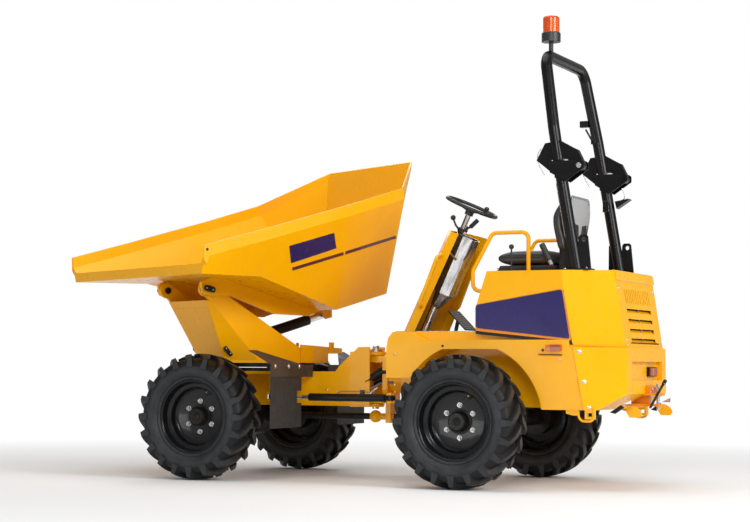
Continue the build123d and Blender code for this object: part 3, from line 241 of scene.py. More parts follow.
def lens(name, color, depth):
    """Moulded lamp lens, ribbed; depth is how far it is see-through."""
    m, tree, p = new_material(name)
    wave = node(tree, "TexWave", Scale=70.0)
    wave.bands_direction = "Z"
    link(coordinates(tree), wave.inputs["Vector"])
    link(mixed(noise(tree, 12.0, 2.0), shade(color, 0.8), color), p.inputs["Base Color"])
    setting(p, Roughness=0.12, Transmission_Weight=depth, IOR=1.3, Coat_Weight=0.6)
    bumped(p, wave.outputs["Fac"], 0.25, 0.001)
    return m


def chequer(name, color):
    """Tread plate with small raised bars in two directions."""
    m, tree, p = new_material(name)
    setting(p, Metallic=0.85)
    heights = []
    for turn in (0.785, -0.785):
        cells = node(tree, "TexVoronoi", Scale=1.0, Randomness=0.0)
        link(coordinates(tree, (38, 14, 1), turn), cells.inputs["Vector"])
        heights.append(spread(cells.outputs["Distance"], 0.3, 0.22))
    top = combined("MAXIMUM", *heights)
    surfaced(p, mixed(top, shade(color, 0.6), color), noise(tree, 40.0, 4.0), 0.25, 0.5)
    bumped(p, top, 0.6, 0.002)
    return m


def two_sided_shroud():
    """Polished steel cover whose facets that face forward are made dark and not metallic: painted shade on
    its shaded side.
    """
    m, tree, p = new_material("shroud_steel")
    geo, split = node(tree, "NewGeometry"), node(tree, "SeparateXYZ")
    link(geo.outputs["True Normal"], split.inputs[0])
    # Facets facing forward go dark and lose their metal: painted shade on the shroud's shaded side.
    shaded_facets = spread(split.outputs["X"], 0.22, 0.26)
    streak = noise(tree, 16.0, 5.0, 0.6, (1.0, 6.0, 0.35))
    steel = mixed(spread(streak, 0.38, 0.62), (0.42, 0.42, 0.43), (0.92, 0.92, 0.93))
    surfaced(p, mixed(shaded_facets, steel, (0.03, 0.028, 0.027)), streak, 0.16, 0.36)
    link(spread(shaded_facets, 0.0, 1.0, 0.95, 0.0), p.inputs["Metallic"])
    bumped(p, noise(tree, 200.0, 2.0), 0.08, 0.0006)
    return m


MAT = {
    "yellow": paint("yellow", (0.90, 0.42, 0.0), 0.3, 0.04, 0.1),
    # Shaded copy of the yellow paint: painted shade on yellow parts that stand in shadow, and the colour
    # of some dark joint lines.
    "orange": paint("orange_shade", (0.78, 0.24, 0.004), 0.3, 0.08, 0.3),
    "black_gloss": paint("black_gloss", (0.0035, 0.0035, 0.004), 0.3, 0.2, 0.1, 0.0, 0.0),
    "black_satin": paint("black_satin", (0.007, 0.007, 0.0075), 0.36, 0.2, 0.15, 0.05, 0.03),
    "rim_black": paint("rim_black", (0.006, 0.0065, 0.0075), 0.3, 0.2, 0.25, 0.03, 0.0),
    # Dark brown: dull dark paint with a painted warm reflection added; its grime is real dirt.
    "brown_steel": paint("dark_steel", (0.06, 0.04, 0.028), 0.6, 0.25, 0.0, 0.2, 0.1),
    "axle_black": paint("axle_black", (0.009, 0.0085, 0.008), 0.45, 0.25, 0.1, 0.12, 0.1),
    "navy": paint("navy_panel", (0.021, 0.015, 0.105), 0.25, 0.12, 0.2),
    "maroon": paint("maroon_stripe", (0.10, 0.018, 0.035), 0.25, 0.1, 0.5),
    "chrome": metal("chrome_rod", (0.86, 0.86, 0.88), 0.07, 0.01, 0.04),
    "steel": metal("zinc_steel", (0.72, 0.72, 0.72), 0.3),
    "dull_steel": metal("dull_steel", (0.35, 0.34, 0.33), 0.42),
    "cast": metal("cast_grey_iron", (0.10, 0.098, 0.095), 0.6, 0.3, 0.3),
    "alu": chequer("tread_plate", (0.62, 0.60, 0.56)),
    "tyre": rubber("tyre_rubber", (0.022, 0.022, 0.023)),
    "rubber": rubber("flap_rubber", (0.030, 0.027, 0.025), 180.0, 0.2, 0.35),
    "hose": rubber("hose_rubber", (0.014, 0.014, 0.015), 500.0, 0.3, 0.15),
    "grey_hose": rubber("grey_hose_sleeve", (0.15, 0.15, 0.15), 500.0, 0.4, 0.2),
    "vinyl": vinyl("seat_vinyl", (0.014, 0.014, 0.015)),
    "plastic": plastic("black_plastic", (0.018, 0.018, 0.019)),
    "grey_plastic": plastic("grey_seat_shell", (0.34, 0.35, 0.36), 0.5),
    "amber": lens("amber_lens", (0.86, 0.11, 0.005), 0.35),
    "amber_solid": lens("amber_marker", (0.80, 0.16, 0.01), 0.1),
    "red_lens": lens("dark_red_lens", (0.42, 0.07, 0.012), 0.1),
    "shroud": two_sided_shroud(),
    "dark": plastic("dark_inside", (0.012, 0.011, 0.010), 0.8),
}

WHEELS = ("rear_left", "rear_right", "front_left", "front_right")
DRESS = {  # the nodes that wear each material
    "yellow": ["rear_body", "rear_wings", "hood", "rear_grille", "side_boxes", "seat_box", "console",
               "handrails", "rear_frame", "front_frame", "swivel_frame", "swivel_tail", "skip_shell",
               "skip_rails", "centre_yoke"],
    # the tow hitch wears the shaded copy of the yellow: painted shade
    "orange": ["tow_hitch"],
    "black_gloss": ["rops_legs", "rops_hoop"],
    "rim_black": [f"rim_{wheel}" for wheel in WHEELS],
    "axle_black": ["rear_axle", "front_axle", "rear_propshaft", "front_propshaft"],
    "black_satin": ["tip_barrel", "steer_barrel", "swivel_pins", "slew_ring", "slew_ring_upper"],
    "brown_steel": ["front_mudguards"],
    "cast": ["engine_block"],
    "steel": ["pivot_pins"],
    "chrome": ["tip_rod", "steer_rod"],
    "alu": ["floor_plate"],
    "plastic": ["steering_wheel", "beacon_base", "control_levers", "lamps"],
    "shroud": ["steering_column"],
    "amber": ["beacon_lens"],
    "rubber": ["mudflaps"],
    "vinyl": ["seat_cushion", "seat_back"],
    "tyre": [f"tyre_{wheel}" for wheel in WHEELS],
}
for _key, _names in DRESS.items():
    for _name in _names:
        _slots = NODES[_name].data.materials
        if not len(_slots):
            _slots.append(MAT[_key])
        for _i in range(len(_slots)):
            _slots[_i] = MAT[_key]
_bare = set(NODES) - {name for names in DRESS.values() for name in names}
if _bare:
    raise SystemExit(f"no material for {sorted(_bare)}")

# ---- mesh building
SHARP = radians(36)  # edges sharper than this are bevelled and stay sharp


def flat(y, *points):
    """Points of x and z, all at one y."""
    return [(x, y, z) for x, z in points]


def circle(centre, side, up, radius, sides):
    """Points round a circle in the plane of side and up."""
    angles = [2 * pi * k / sides for k in range(sides)]
    return [centre + (side * cos(a) + up * sin(a)) * radius for a in angles]


def placed(name, data):
    """New object, linked into the scene."""
    o = bpy.data.objects.new(name, data)
    bpy.context.collection.objects.link(o)
    return o


def spun(way):
    """Unit vector along way, and two directions square to it."""
    way = Vector(way).normalized()
    side = way.orthogonal().normalized()
    return way, side, way.cross(side)


class Shape:
    """One piece, built of closed solids given in millimetres of one frame."""

    def __init__(self, name, *materials, frame=MACHINE):
        self.name, self.frame = name, frame
        self.materials = [MAT[m] if isinstance(m, str) else m for m in materials]
        self.bm = bmesh.new()

    def loft(self, rings, mat=0, closed=False):
        """Skin over rings of points; a ring of one point is a pole."""
        rows = [[self.bm.verts.new(Vector(p) * MM) for p in ring] for ring in rings]
        pairs = list(zip(rows, rows[1:])) + ([(rows[-1], rows[0])] if closed else [])
        faces = []
        for a, b in pairs:
            n = max(len(a), len(b))
            for i in range(n):
                j = (i + 1) % n
                corners = []
                for v in (a[i % len(a)], a[j % len(a)], b[j % len(b)], b[i % len(b)]):
                    if v not in corners:
                        corners.append(v)
                if len(corners) > 2:
                    faces.append(self.bm.faces.new(corners))
        if not closed:
            for row in (rows[0], rows[-1]):
                if len(row) > 2:
                    faces.append(self.bm.faces.new(row))
        for f in faces:
            f.material_index = mat
        return faces

    def slab(self, points, push, mat=0):
        """Flat outline pushed along a vector."""
        return self.loft([points, [Vector(p) + Vector(push) for p in points]], mat)

    def prism(self, outline, low, high, mat=0):
        """Outline in x and z, from low to high along y."""
        return self.loft([flat(y, *outline) for y in (low, high)], mat)

    def box(self, low, high, mat=0):
        (x0, y0, z0), (x1, y1, z1) = low, high
        return self.loft([[(x0, y0, z), (x1, y0, z), (x1, y1, z), (x0, y1, z)] for z in (z0, z1)], mat)

    def lathe(self, centre, way, profile, mat=0, sides=24, closed=False):
        """Profile of (height along way, radius)."""
        centre = Vector(centre)
        way, side, up = spun(way)
        rings = [circle(centre + way * h, side, up, r, sides) if r else [centre + way * h]
                 for h, r in profile]
        return self.loft(rings, mat, closed)

    def rod(self, a, b, radius, mat=0, sides=20, chamfer=0.0):
        a, b = Vector(a), Vector(b)
        n = (b - a).length
        profile = [(0, radius), (n, radius)]
        if chamfer:
            tip = radius - chamfer
            profile = [(0, tip), (chamfer, radius), (n - chamfer, radius), (n, tip)]
        return self.lathe(a, b - a, profile, mat, sides)

    def tube(self, points, radius, mat=0, sides=12, closed=False):
        """Round bar along points, its frame carried along without twist."""
        points = [Vector(p) for p in points]
        n = len(points)
        rings, side = [], None
        for i, p in enumerate(points):
            before = points[(i - 1) % n] if closed or i else p
            after = points[(i + 1) % n] if closed or i < n - 1 else p
            way = (after - before).normalized()
            side = way.orthogonal() if side is None else side - way * side.dot(way)
            side.normalize()
            up = way.cross(side)
            rings.append(circle(p, side, up, radius, sides))
        return self.loft(rings, mat, closed)

    def bolt(self, where, way, size, mat=0, washer=True):
        """Hexagonal head with a chamfered top, on a washer; size is the head's radius."""
        h = size * 0.75
        if washer:
            rim = size * 1.5
            self.lathe(where, way, [(-1, rim), (size * 0.2, rim), (size * 0.25, size * 1.4)], mat, 20)
        self.lathe(where, way, [(0, size), (h * 0.85, size), (h, size * 0.86)], mat, 6)

    def dome(self, where, way, radius, height, mat=0, sides=20):
        steps = [pi / 2 * i / 5 for i in range(5)]
        profile = [(-1, radius)] + [(height * sin(a), radius * cos(a)) for a in steps] + [(height, 0)]
        return self.lathe(where, way, profile, mat, sides)

    def done(self, body, bevel=0.0, segments=2, replaces=(), own_origin=False):
        """Makes the object, riding on a body; own_origin gives it its frame instead of the model's."""
        bm = self.bm
        bmesh.ops.recalc_face_normals(bm, faces=bm.faces)
        if bevel:
            bm.normal_update()
            sharp = [e for e in bm.edges if len(e.link_faces) == 2 and e.calc_face_angle(0) > SHARP]
            bmesh.ops.bevel(bm, geom=sharp, offset=bevel * MM, offset_type="OFFSET", segments=segments,
                            profile=0.5, affect="EDGES", clamp_overlap=True)
        mesh = bpy.data.meshes.new(self.name)
        bm.to_mesh(mesh)
        bm.free()
        for m in self.materials:
            mesh.materials.append(m)
        mesh.shade_smooth()
        mesh.set_sharp_from_angle(angle=SHARP)
        o = placed(self.name, mesh)
        if own_origin:
            o.matrix_world = self.frame
        else:
            mesh.transform(self.frame)
            if self.frame.determinant() < 0:
                mesh.flip_normals()
        if bevel:
            o.modifiers.new("weighted", "WEIGHTED_NORMAL").keep_sharp = True
        bpy.context.view_layer.update()
        if body:
            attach(o, body)
        if replaces:
            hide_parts(*replaces)
        return o


def bend(a, b, c, radius, steps):
    """Points of a rounded corner at b, between a and c."""
    start, end = b + (a - b).normalized() * radius, b + (c - b).normalized() * radius
    return [start * (1 - t) ** 2 + b * 2 * t * (1 - t) + end * t * t
            for t in (i / steps for i in range(steps + 1))]


def arc(points, radius, steps=6):
    """Polyline with rounded corners."""
    points = [Vector(p) for p in points]
    out = [points[0]]
    for a, b, c in zip(points, points[1:], points[2:]):
        out += bend(a, b, c, min(radius, (a - b).length * 0.45, (c - b).length * 0.45), steps)
    return out + [points[-1]]


def smooth(t):
    t = max(0.0, min(1.0, t))
    return t * t * (3 - 2 * t)


# ---- wheels
TYRE_R = 450.0
TYRE_HALF = 155.0
LUG_TIP = 428.0  # top of a lug's end on the shoulder
LUG_FOOT = 356.0  # foot of a lug on the shoulder
CROWN_FOOT = 408.0  # foot of a lug in the middle of the tread
LUGS = 20
LUG_SWEEP = radians(13)
LUG_STEPS = (0.0, 0.07, 0.16, 0.3, 0.45, 0.65, 0.85, 1.0)
NUT_CIRCLE = 110.0
NUT_SEAT = -9.0  # face of the rim's disc
HUB_R = 67.0
HUB_FACE = 50.0


def tyre_material(kind):
    """Rubber of the carcass, or of a lug's flanks, worn top or end, by distance from the axle."""
    m, tree, p = new_material("tyre_" + kind)
    radius = length(coordinates(tree, (1.0, 0.0, 1.0)))
    if kind == "top":
        crown = mixed(noise(tree, 24.0, 5.0), (0.020, 0.016, 0.013), (0.044, 0.034, 0.026))
        base = mixed(spread(radius, 0.425, 0.445), (0.012, 0.012, 0.012), crown)
    else:
        tone = spread(noise(tree, 9.0, 5.0), 0.35, 0.7)
        base = mixed(tone, (0.020, 0.022, 0.024), (0.034, 0.036, 0.039))
    # Beyond about 0.36 m from the axle the carcass and the lugs' flanks go very dark: painted shade
    # between the lugs and on their flanks.
    if kind in ("carcass", "flank"):
        base = mixed(spread(radius, 0.364, 0.356), (0.006, 0.006, 0.0065), base)
    surfaced(p, base, noise(tree, 30.0, 4.0), 0.42, 0.6)
    setting(p, Specular_IOR_Level=0.3)
    bumped(p, noise(tree, 330.0, 4.0), 0.25, 0.001)
    return m


def lug_ring(way, first, t):
    """Section across a lug, t running from the shoulder to the middle of the tread."""
    y = way * ((TYRE_HALF - 4) * (1 - t) + 8 * t)
    top = LUG_TIP + (TYRE_R - LUG_TIP) * (1 - (1 - t) ** 2.6)
    foot = LUG_FOOT + (CROWN_FOOT - LUG_FOOT) * smooth(t / 0.45)
    turn = first + LUG_SWEEP * t ** 1.2
    wide_top, wide_foot = 30 + 20 * t, 54 + 10 * t
    lean = way * 7 * (1 - smooth(t / 0.3))
    ring = []
    for r, across, back in ((foot, -wide_foot, 0), (top, -wide_top, lean), (top, wide_top, lean),
                            (foot, wide_foot, 0)):
        a = turn + across / 2 / r
        ring.append((r * sin(a), y - back, r * cos(a)))
    return ring


def tyre_shape(name, frame, materials):
    """Carcass and its lugs, the two rows half a pitch apart."""
    shape = Shape(name, *materials, frame=frame)
    half = [(104, 255), (104, 263), (112, 263), (119, 267), (123, 274), (122, 281), (119, 284), (127, 290),
            (136, 299), (143, 310), (144, 311), (145.5, 311), (149, 322), (150.5, 334), (149, 346),
            (147, 349), (143, 366), (138, 382), (129, 396), (116, 405), (96, 411), (60, 416), (0, 419)]
    profile = half + [(-y, r) for y, r in reversed(half[:-1])]
    shape.lathe((0, 0, 0), LEFT, profile, 0, 96, closed=True)
    pitch = 2 * pi / LUGS
    for way in (-1, 1):
        for index in range(LUGS):
            first = index * pitch + (pitch / 2 if way < 0 else 0.0)
            faces = shape.loft([lug_ring(way, first, t) for t in LUG_STEPS], 1)
            for i in range(len(LUG_STEPS) - 1):
                faces[4 * i + 1].material_index = 2
            end = faces[-2]
            end.material_index = 3
            bmesh.ops.inset_individual(shape.bm, faces=[end], thickness=0.006, depth=-0.0022)
    return shape


def about_axle(count, radius, y, start=0.0):
    """Points spaced round the axle."""
    angles = [2 * pi * (k + start) / count for k in range(count)]
    return [(radius * sin(a), y, radius * cos(a)) for a in angles]


def rim_shape(name, frame):
    """Rim, disc and hub with their bolts and nuts, and the valve."""
    brass = metal("brass_valve", (0.62, 0.46, 0.20), 0.3)
    shape = Shape(name, "rim_black", "axle_black", "steel", brass, frame=frame)
    lip = [(100, 247), (103, 259), (107, 262.5), (112, 262), (113.5, 257), (111, 251), (104, 246.5),
           (95, 244)]
    outer = lip + [(66, 240.5), (58, 237), (54, 230), (51, 217), (47, 210.5), (30, 208), (14, 206),
                   (4, 201), (-3, 192), (-7, 183), (NUT_SEAT, 176), (NUT_SEAT, 60)]
    inner = [(-21, 60), (-21, 178), (-14, 192), (-10, 206), (-30, 209), (-46, 212), (-58, 237)]
    inner += [(-y, r) for y, r in reversed(lip)] + [(-96, 249), (96, 249)]
    shape.lathe((0, 0, 0), LEFT, outer + inner, 0, 96, closed=True)
    hub = [(-20, 41.5), (-20, 66), (NUT_SEAT, 84), (-4, 85), (-3, 70), (2, HUB_R), (40, HUB_R - 1),
           (44, HUB_R - 4), (48, 58), (51, 56), (51, 30), (56, 28), (58, 22), (58, 0.0)]
    shape.lathe((0, 0, 0), LEFT, hub + [(39, 0.0), (39, 41.5)], 1, 40, closed=True)
    for spot in about_axle(8, 44, HUB_FACE, 0.5):
        shape.bolt(spot, LEFT, 5.5, 1, False)
    shape.lathe((0, 57, 0), LEFT, [(0, 13), (5, 13), (6, 11)], 1, 6)
    for x, y, z in about_axle(6, NUT_CIRCLE, NUT_SEAT):
        shape.lathe((x, y, z), LEFT, [(-1, 19), (3, 19), (4.5, 17)], 2, 24)
        shape.lathe((x, y, z), LEFT, [(0, 15), (16, 15), (19, 12.5)], 2, 6)
        shape.dome((x, y + 18, z), LEFT, 8, 9, 2)
    shape.rod((-70, 2, 150), (-84, 44, 170), 4.2, 3, 12)
    shape.rod((-81, 35, 166), (-87, 53, 174), 6, 3, 12, 1)
    return shape


def wheels():
    tread = [tyre_material(kind) for kind in ("carcass", "flank", "top", "end")]
    for wheel in WHEELS:
        low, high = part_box(f"tyre_{wheel}")
        turn = pi if wheel.endswith("right") else 0
        frame = Matrix.Translation((low + high) / 2) @ Matrix.Rotation(turn, 4, "Z")
        tyre = tyre_shape(f"tyre_dressed_{wheel}", frame, tread)
        tyre.done(f"wheel_{wheel}", 1.6, replaces=[f"tyre_{wheel}"], own_origin=True)
        rim = rim_shape(f"rim_dressed_{wheel}", frame)
        rim.done(f"wheel_{wheel}", replaces=[f"rim_{wheel}"], own_origin=True)


wheels()

# ---- rear body
SIDE = 600.0  # face of the side boxes
SKIN = 605.0  # face of the wings
# Leaning edges, in x and z: the grille's face, the hood's front, and the fold from wing to facet.
GRILLE = ((-1050, 950), (-965, 1465))
HOOD_EDGE = ((-722, 950), (-657, 1465))
TAIL_FOLD = ((-812, 535), (-737, 950))
TAIL_BACK = -1062.0  # rear end of the tail casing
TAIL_TAPER = 164.0  # how far its facets lean in from the fold to that end
LAMP_FACE = -1030.0  # floor of the lamps' pocket
LOOP_Y, EYE_Y = 588, 350  # the tie-down loops under the wings, and the eyes under the tail


def edge_x(edge, z):
    """x of a leaning edge at a height."""
    (x0, z0), (x1, z1) = edge
    return x0 + (x1 - x0) * (z - z0) / (z1 - z0)


def leaning(*points):
    """Outline off the grille's face; a point has the height it is measured at, a distance and its z."""
    return [(edge_x(GRILLE, level) + off, z) for level, off, z in points]


def rounded(points, radius, steps=4):
    """Closed outline with rounded corners, in two dimensions."""
    points = [Vector(p) for p in points]
    out = []
    for a, b, c in zip(points[-1:] + points[:-1], points, points[1:] + points[:1]):
        out += [tuple(p) for p in bend(a, b, c, radius, steps)]
    return out


def tail_skin(x, z):
    """Half width of the tail casing and its outward direction, on the wing or on the facet behind."""
    fold = edge_x(TAIL_FOLD, z)
    along = max(0.0, (x - fold) / (TAIL_BACK - fold))
    return SIDE - TAIL_TAPER * along + (2 if along else 0), (-0.5 if along else 0.0, 1.0, 0.0)


def side_panels():
    """Navy panel on each side box, ringed by a strip of painted shade in the shaded copy of the yellow,
    and dark strips of painted shadow in the gaps round the box.
    """
    panel = [(-44, 1236), (-664, 1334), (-719, 1006), (-46, 1080)]
    edge = [(-42, 1239), (-672, 1341), (-733, 990), (-42, 1060)]
    for name, frame in SIDES:
        shape = Shape(f"navy_panel_{name}", "navy", "orange", "dark", frame=frame)
        shape.prism(rounded(panel, 22), SIDE - 1, SIDE + 3.4)
        # Border in the shaded copy of the yellow, widest below and behind the panel: painted shade.
        shape.prism(rounded(edge, 26), SIDE - 1, SIDE + 1.6, 1)
        # Dark strips under the box and up its rear edge: painted shadow in the gaps.
        shape.prism([(-44, 1063), (-44, 1040), (-738, 966), (-725, 1002)], SIDE - 30, SIDE + 1.2, 2)
        x = edge_x(HOOD_EDGE, 1330)
        shape.prism([(-725, 1002), (-734, 974), (x - 1, 1330), (x + 9, 1330)], SIDE - 30, SIDE + 0.8, 2)
        shape.done("rear", 0.5, 1)
        bolts = Shape(f"side_bolts_{name}", "steel", frame=frame)
        for x, z in ((-778, 920), (-812, 721), (-844, 549)):
            y, out = tail_skin(x, z)
            bolts.lathe((x, y, z), out, [(-2, 15), (1.5, 15), (2.5, 13)], 0, 24)
            bolts.dome((x, y + 1, z), out, 10.5, 7)
        for x, z in ((-648, 868), (560, 690), (560, 905)):
            bolts.dome((x, SKIN, z), LEFT, 7, 4)
        bolts.done("rear")


def seams():
    """Dark joint lines between the wing, the tail casing and the hood, and the hood's rolled lip with a
    painted shadow line under it.
    """
    for name, frame in SIDES:
        shape = Shape(f"panel_seams_{name}", "orange", frame=frame)
        shape.prism([(-735, 950), (-739, 950), (-814, 537), (-810, 537)], SKIN - 3, SKIN + 0.6)
        shape.done("rear")
    lip = Shape("hood_lip", "yellow", "orange")
    half = 421
    lip.prism(leaning((1468, 16, 1468.5), (1466, -3, 1468.5), (1456, -11, 1458), (1408, -11, 1408),
                      (1401, -6, 1401), (1401, 4, 1401)), -half, half)
    # Thin strip just under the lip in the shaded copy of the yellow: painted shadow line below the lip.
    lip.prism(leaning((1400, 2, 1401), (1400, -3, 1401), (1396, -1.5, 1396), (1396, 2, 1396)),
              -half + 6, half - 6, 1)
    lip.done("rear", 4, 3)
    foot = Shape("grille_foot_line", "dark")
    foot.prism(leaning((985, -1.2, 987), (985, 3, 987), (978, 3, 978), (978, -1.2, 978)), -330, 300)
    foot.done("rear")


def grille_detail():
    """Fins in the louvres, the dark core behind, and the corner bolts."""
    fins = Shape("louvre_fins", "yellow", "dull_steel")
    for z in (1000, 1065, 1131, 1200):
        x = edge_x(GRILLE, z)
        for y0, y1 in ((-274, -2), (2, 274)):
            fins.prism([(x + 4, z - 13), (x + 6, z - 13), (x + 26, z + 6), (x + 24, z + 6)], y0, y1)
        fins.box((x + 8, -6, z - 13), (x + 14, 6, z + 13), 1)
    fins.done("rear", 0.6, 1)
    core = Shape("radiator_core", "dark")
    core.prism(leaning((982, 34, 982), (1380, 34, 1380), (1380, 50, 1380), (982, 50, 982)), -340, 340)
    core.done("rear")
    bolts = Shape("grille_bolts", "steel")
    slope = (-1, 0, 0.165)
    for y, z in ((-384, 1352), (384, 1352), (-388, 1004), (388, 1004)):
        bolts.lathe((edge_x(GRILLE, z) - 0.5, y, z), slope, [(-2, 13), (1, 13), (2, 11.5)], 0, 20)
        bolts.dome((edge_x(GRILLE, z) - 1, y, z), slope, 9, 6)
    for y in (-418, 418):
        bolts.dome((TAIL_BACK, y, 968), BACK, 6, 4)
    bolts.done("rear")


def lamp_detail():
    """Side markers with their rubber strip, and the rear lamps in the tail's pocket."""
    marker = Shape("side_markers", "amber_solid", "black_satin", "red_lens")
    for way in (-1, 1):
        y = way * SKIN
        marker.prism([(-588, 925), (-554, 930), (-554, 964), (-588, 968)], y, y + way * 18)
        marker.prism([(-664, 925), (-588, 925), (-588, 968), (-664, 968)], y, y + way * 24, 2)
        marker.prism([(-668, 893), (-500, 897), (-500, 906), (-668, 904)], y, y + way * 7, 1)
        marker.rod((-531, y - way * 2, 930), (-531, y + way * 2, 930), 11, 1, 20)
    marker.done("rear", 2.5, replaces=["lamps"])
    rear = Shape("rear_lamps", "black_satin", "red_lens", "amber_solid", "steel")
    rear.box((LAMP_FACE - 20, -268, 756), (LAMP_FACE, -92, 822))
    for k, mat in enumerate((1, 1, 2, 1)):
        y0 = -262 + k * 41.5
        rear.box((LAMP_FACE - 29, y0, 762), (LAMP_FACE - 19, y0 + 39, 816), mat)
    rear.box((LAMP_FACE - 9, 270, 756), (LAMP_FACE, 338, 822))
    rear.box((LAMP_FACE - 12, 276, 762), (LAMP_FACE - 8, 332, 816), 1)
    for z in (738, 842):
        rear.dome((LAMP_FACE, -180, z), BACK, 6, 4, 3)
    rear.done("rear", 2.5)


def tail_fittings():
    """Hitch pin and lever, latch box, tie-down loops, and the brackets under the tail."""
    pin = Shape("hitch_pin", "steel", "black_satin")
    pin.rod((-1140, 0, 532), (-1140, 0, 668), 12.5, 0, 24, 2)
    pin.lathe((-1140, 0, 662), UP, [(0, 19), (7, 19), (9, 16)], 0, 24)
    pin.tube(arc([(-1140, 0, 670), (-1140, 0, 690), (-1146, 40, 704), (-1150, 96, 690)], 20), 6)
    pin.tube(arc([(-1176, -38, 724), (-1166, 20, 680), (-1110, 90, 545)], 30), 9, 1)
    pin.rod((-1178, -46, 732), (-1170, -18, 704), 13, 1, 16, 3)
    pin.done("rear", 0.8)
    # Latch box in the shaded copy of the yellow: painted shade.
    box = Shape("hitch_latch_box", "orange", "steel", "amber_solid")
    box.box((-1096, -150, 640), (-1066, 38, 694))
    box.box((-1103, -118, 648), (-1095, -62, 686), 2)
    box.dome((-1096, -20, 668), BACK, 12, 9, 1)
    box.dome((-1096, -142, 650), BACK, 7, 5, 1)
    box.done("rear", 3)
    loops = Shape("tie_down_loops", "yellow")
    for way in (-1, 1):
        y = way * LOOP_Y
        bar = flat(y, (-772, 545), (-776, 486), (-800, 462), (-862, 462), (-884, 486), (-880, 545))
        loops.tube(arc(bar, 26), 8)
        loops.prism([(-690, 545), (-690, 512), (-735, 500), (-772, 500), (-772, 545)], y, y + way * 10)
        y = way * EYE_Y
        loops.prism([(-1030, 560), (-1030, 520), (-1052, 486), (-1120, 486), (-1136, 508), (-1120, 540),
                     (-1090, 560)], y, y + way * 12)
        ring = flat(y + way * 6, (-1066, 524), (-1072, 500), (-1104, 500), (-1112, 512), (-1100, 528))
        loops.tube(arc(ring, 8), 4)
    loops.done("rear")
    trim = Shape("tail_reflectors", "black_satin", "steel", "red_lens")
    for way in (-1, 1):
        trim.slab([(-950, way * 470, 520), (-986, way * 470, 512), (-1040, way * 452, 552),
                   (-1020, way * 452, 570)], (0, -way * 22, 0))
        trim.prism([(-1030, 575), (-1094, 575), (-1094, 606)], way * 440, way * 448, 1)
    trim.done("rear", 1.5)


def wing_detail():
    """Cap screws near the wing's front edge, in the shaded copy of the yellow as painted shade, and the
    dark plug over the arch.
    """
    for name, frame in SIDES:
        shape = Shape(f"wing_screws_{name}", "orange", "dark", frame=frame)
        for x, z in ((560, 902), (556, 640)):
            shape.lathe((x, SKIN, z), LEFT, [(-1, 9), (1, 9), (1.5, 6)], 0, 18)
        shape.lathe((198, SKIN - 4, 958), LEFT, [(-1, 9), (4.6, 9), (4.8, 6)], 1, 18)
        shape.done("rear")


side_panels()
seams()
grille_detail()
lamp_detail()
tail_fittings()
wing_detail()


# ---- seat
SEAT_HALF = 222.0  # half width of the cushion
SHELL_FOOT, SHELL_TOP = 1476, 1986  # heights of the shell behind the seat
SHELL_BOW = 15.3  # how far the middle of the shell stands behind its edges
PAD_STEPS, PAD_AROUND = 44, 96
LONG_GROOVE, CROSS_GROOVE = (5.5, 7.0), (4.5, 8.0)  # depth and width


def bell(distance, width):
    """Section of a sewn groove."""
    return exp(-(distance / width) ** 2)


def pad(name, section, length, replaces, seam, crown):
    """Crowned cushion: rings of a superellipse set along its length, with sewn grooves.

    section(s), for s from 0 to 1, gives the middle in x and z, the half width, the half thickness
    and the outward direction in x and z. The two long grooves run at seam from the middle."""
    rings = []
    for k in range(PAD_STEPS + 1):
        s = 0.5 - 0.5 * cos(pi * k / PAD_STEPS)
        mid, half, high, up = section(s)
        end = (1 - abs(2 * s - 1) ** 9) ** (1 / 2.6) if 0 < k < PAD_STEPS else 0.0
        side = 0.86 + 0.14 * end
        ring = []
        for i in range(PAD_AROUND):
            a = 2 * pi * i / PAD_AROUND
            c, v = cos(a), sin(a)
            y = half * side * copysign(abs(c) ** 0.42, c)
            h = high * end * copysign(abs(v) ** 0.55, v)
            if v > 0:
                h += crown * end * (1 - (y / half) ** 2) * (1 - (2 * s - 1) ** 2)
                h -= LONG_GROOVE[0] * end * bell(abs(y) - seam, LONG_GROOVE[1])
                if abs(y) < seam:
                    h -= CROSS_GROOVE[0] * end * bell((s - 0.5) * length, CROSS_GROOVE[1])
            ring.append(Vector((mid[0], y, mid[1])) + Vector((up[0], 0, up[1])) * h)
        rings.append(ring)
    shape = Shape(name, "vinyl")
    shape.loft(rings)
    o = shape.done("rear", replaces=replaces)
    fine = o.modifiers.new("fine", "SUBSURF")
    fine.levels = fine.render_levels = 1


def cushion_section(s):
    low = 1524 + 12 * smooth((s - 0.7) / 0.3)
    top = 1626 - 14 * smooth((s - 0.72) / 0.28)
    return (-438 + (438 - 48) * s, (low + top) / 2), SEAT_HALF, (top - low) / 2, (0.0, 1.0)


def backrest_section(s):
    front = -474 + 30 * smooth(s / 0.55) - 62 * smooth((s - 0.6) / 0.4)
    thick = 78 - 16 * s
    half = 207 - 14 * smooth((s - 0.75) / 0.25)
    return (front - thick / 2, 1626 + 372 * s), half, thick / 2, (0.97, -0.1)


def shell_x(z):
    """Rear of the seat's shell."""
    return -553 - 34 * smooth((z - 1626) / 330)


def shell_half(z):
    """Half width of the seat's shell."""
    return 128 + 68 * smooth((z - SHELL_FOOT) / 330) - 20 * smooth((z - 1900) / 90)


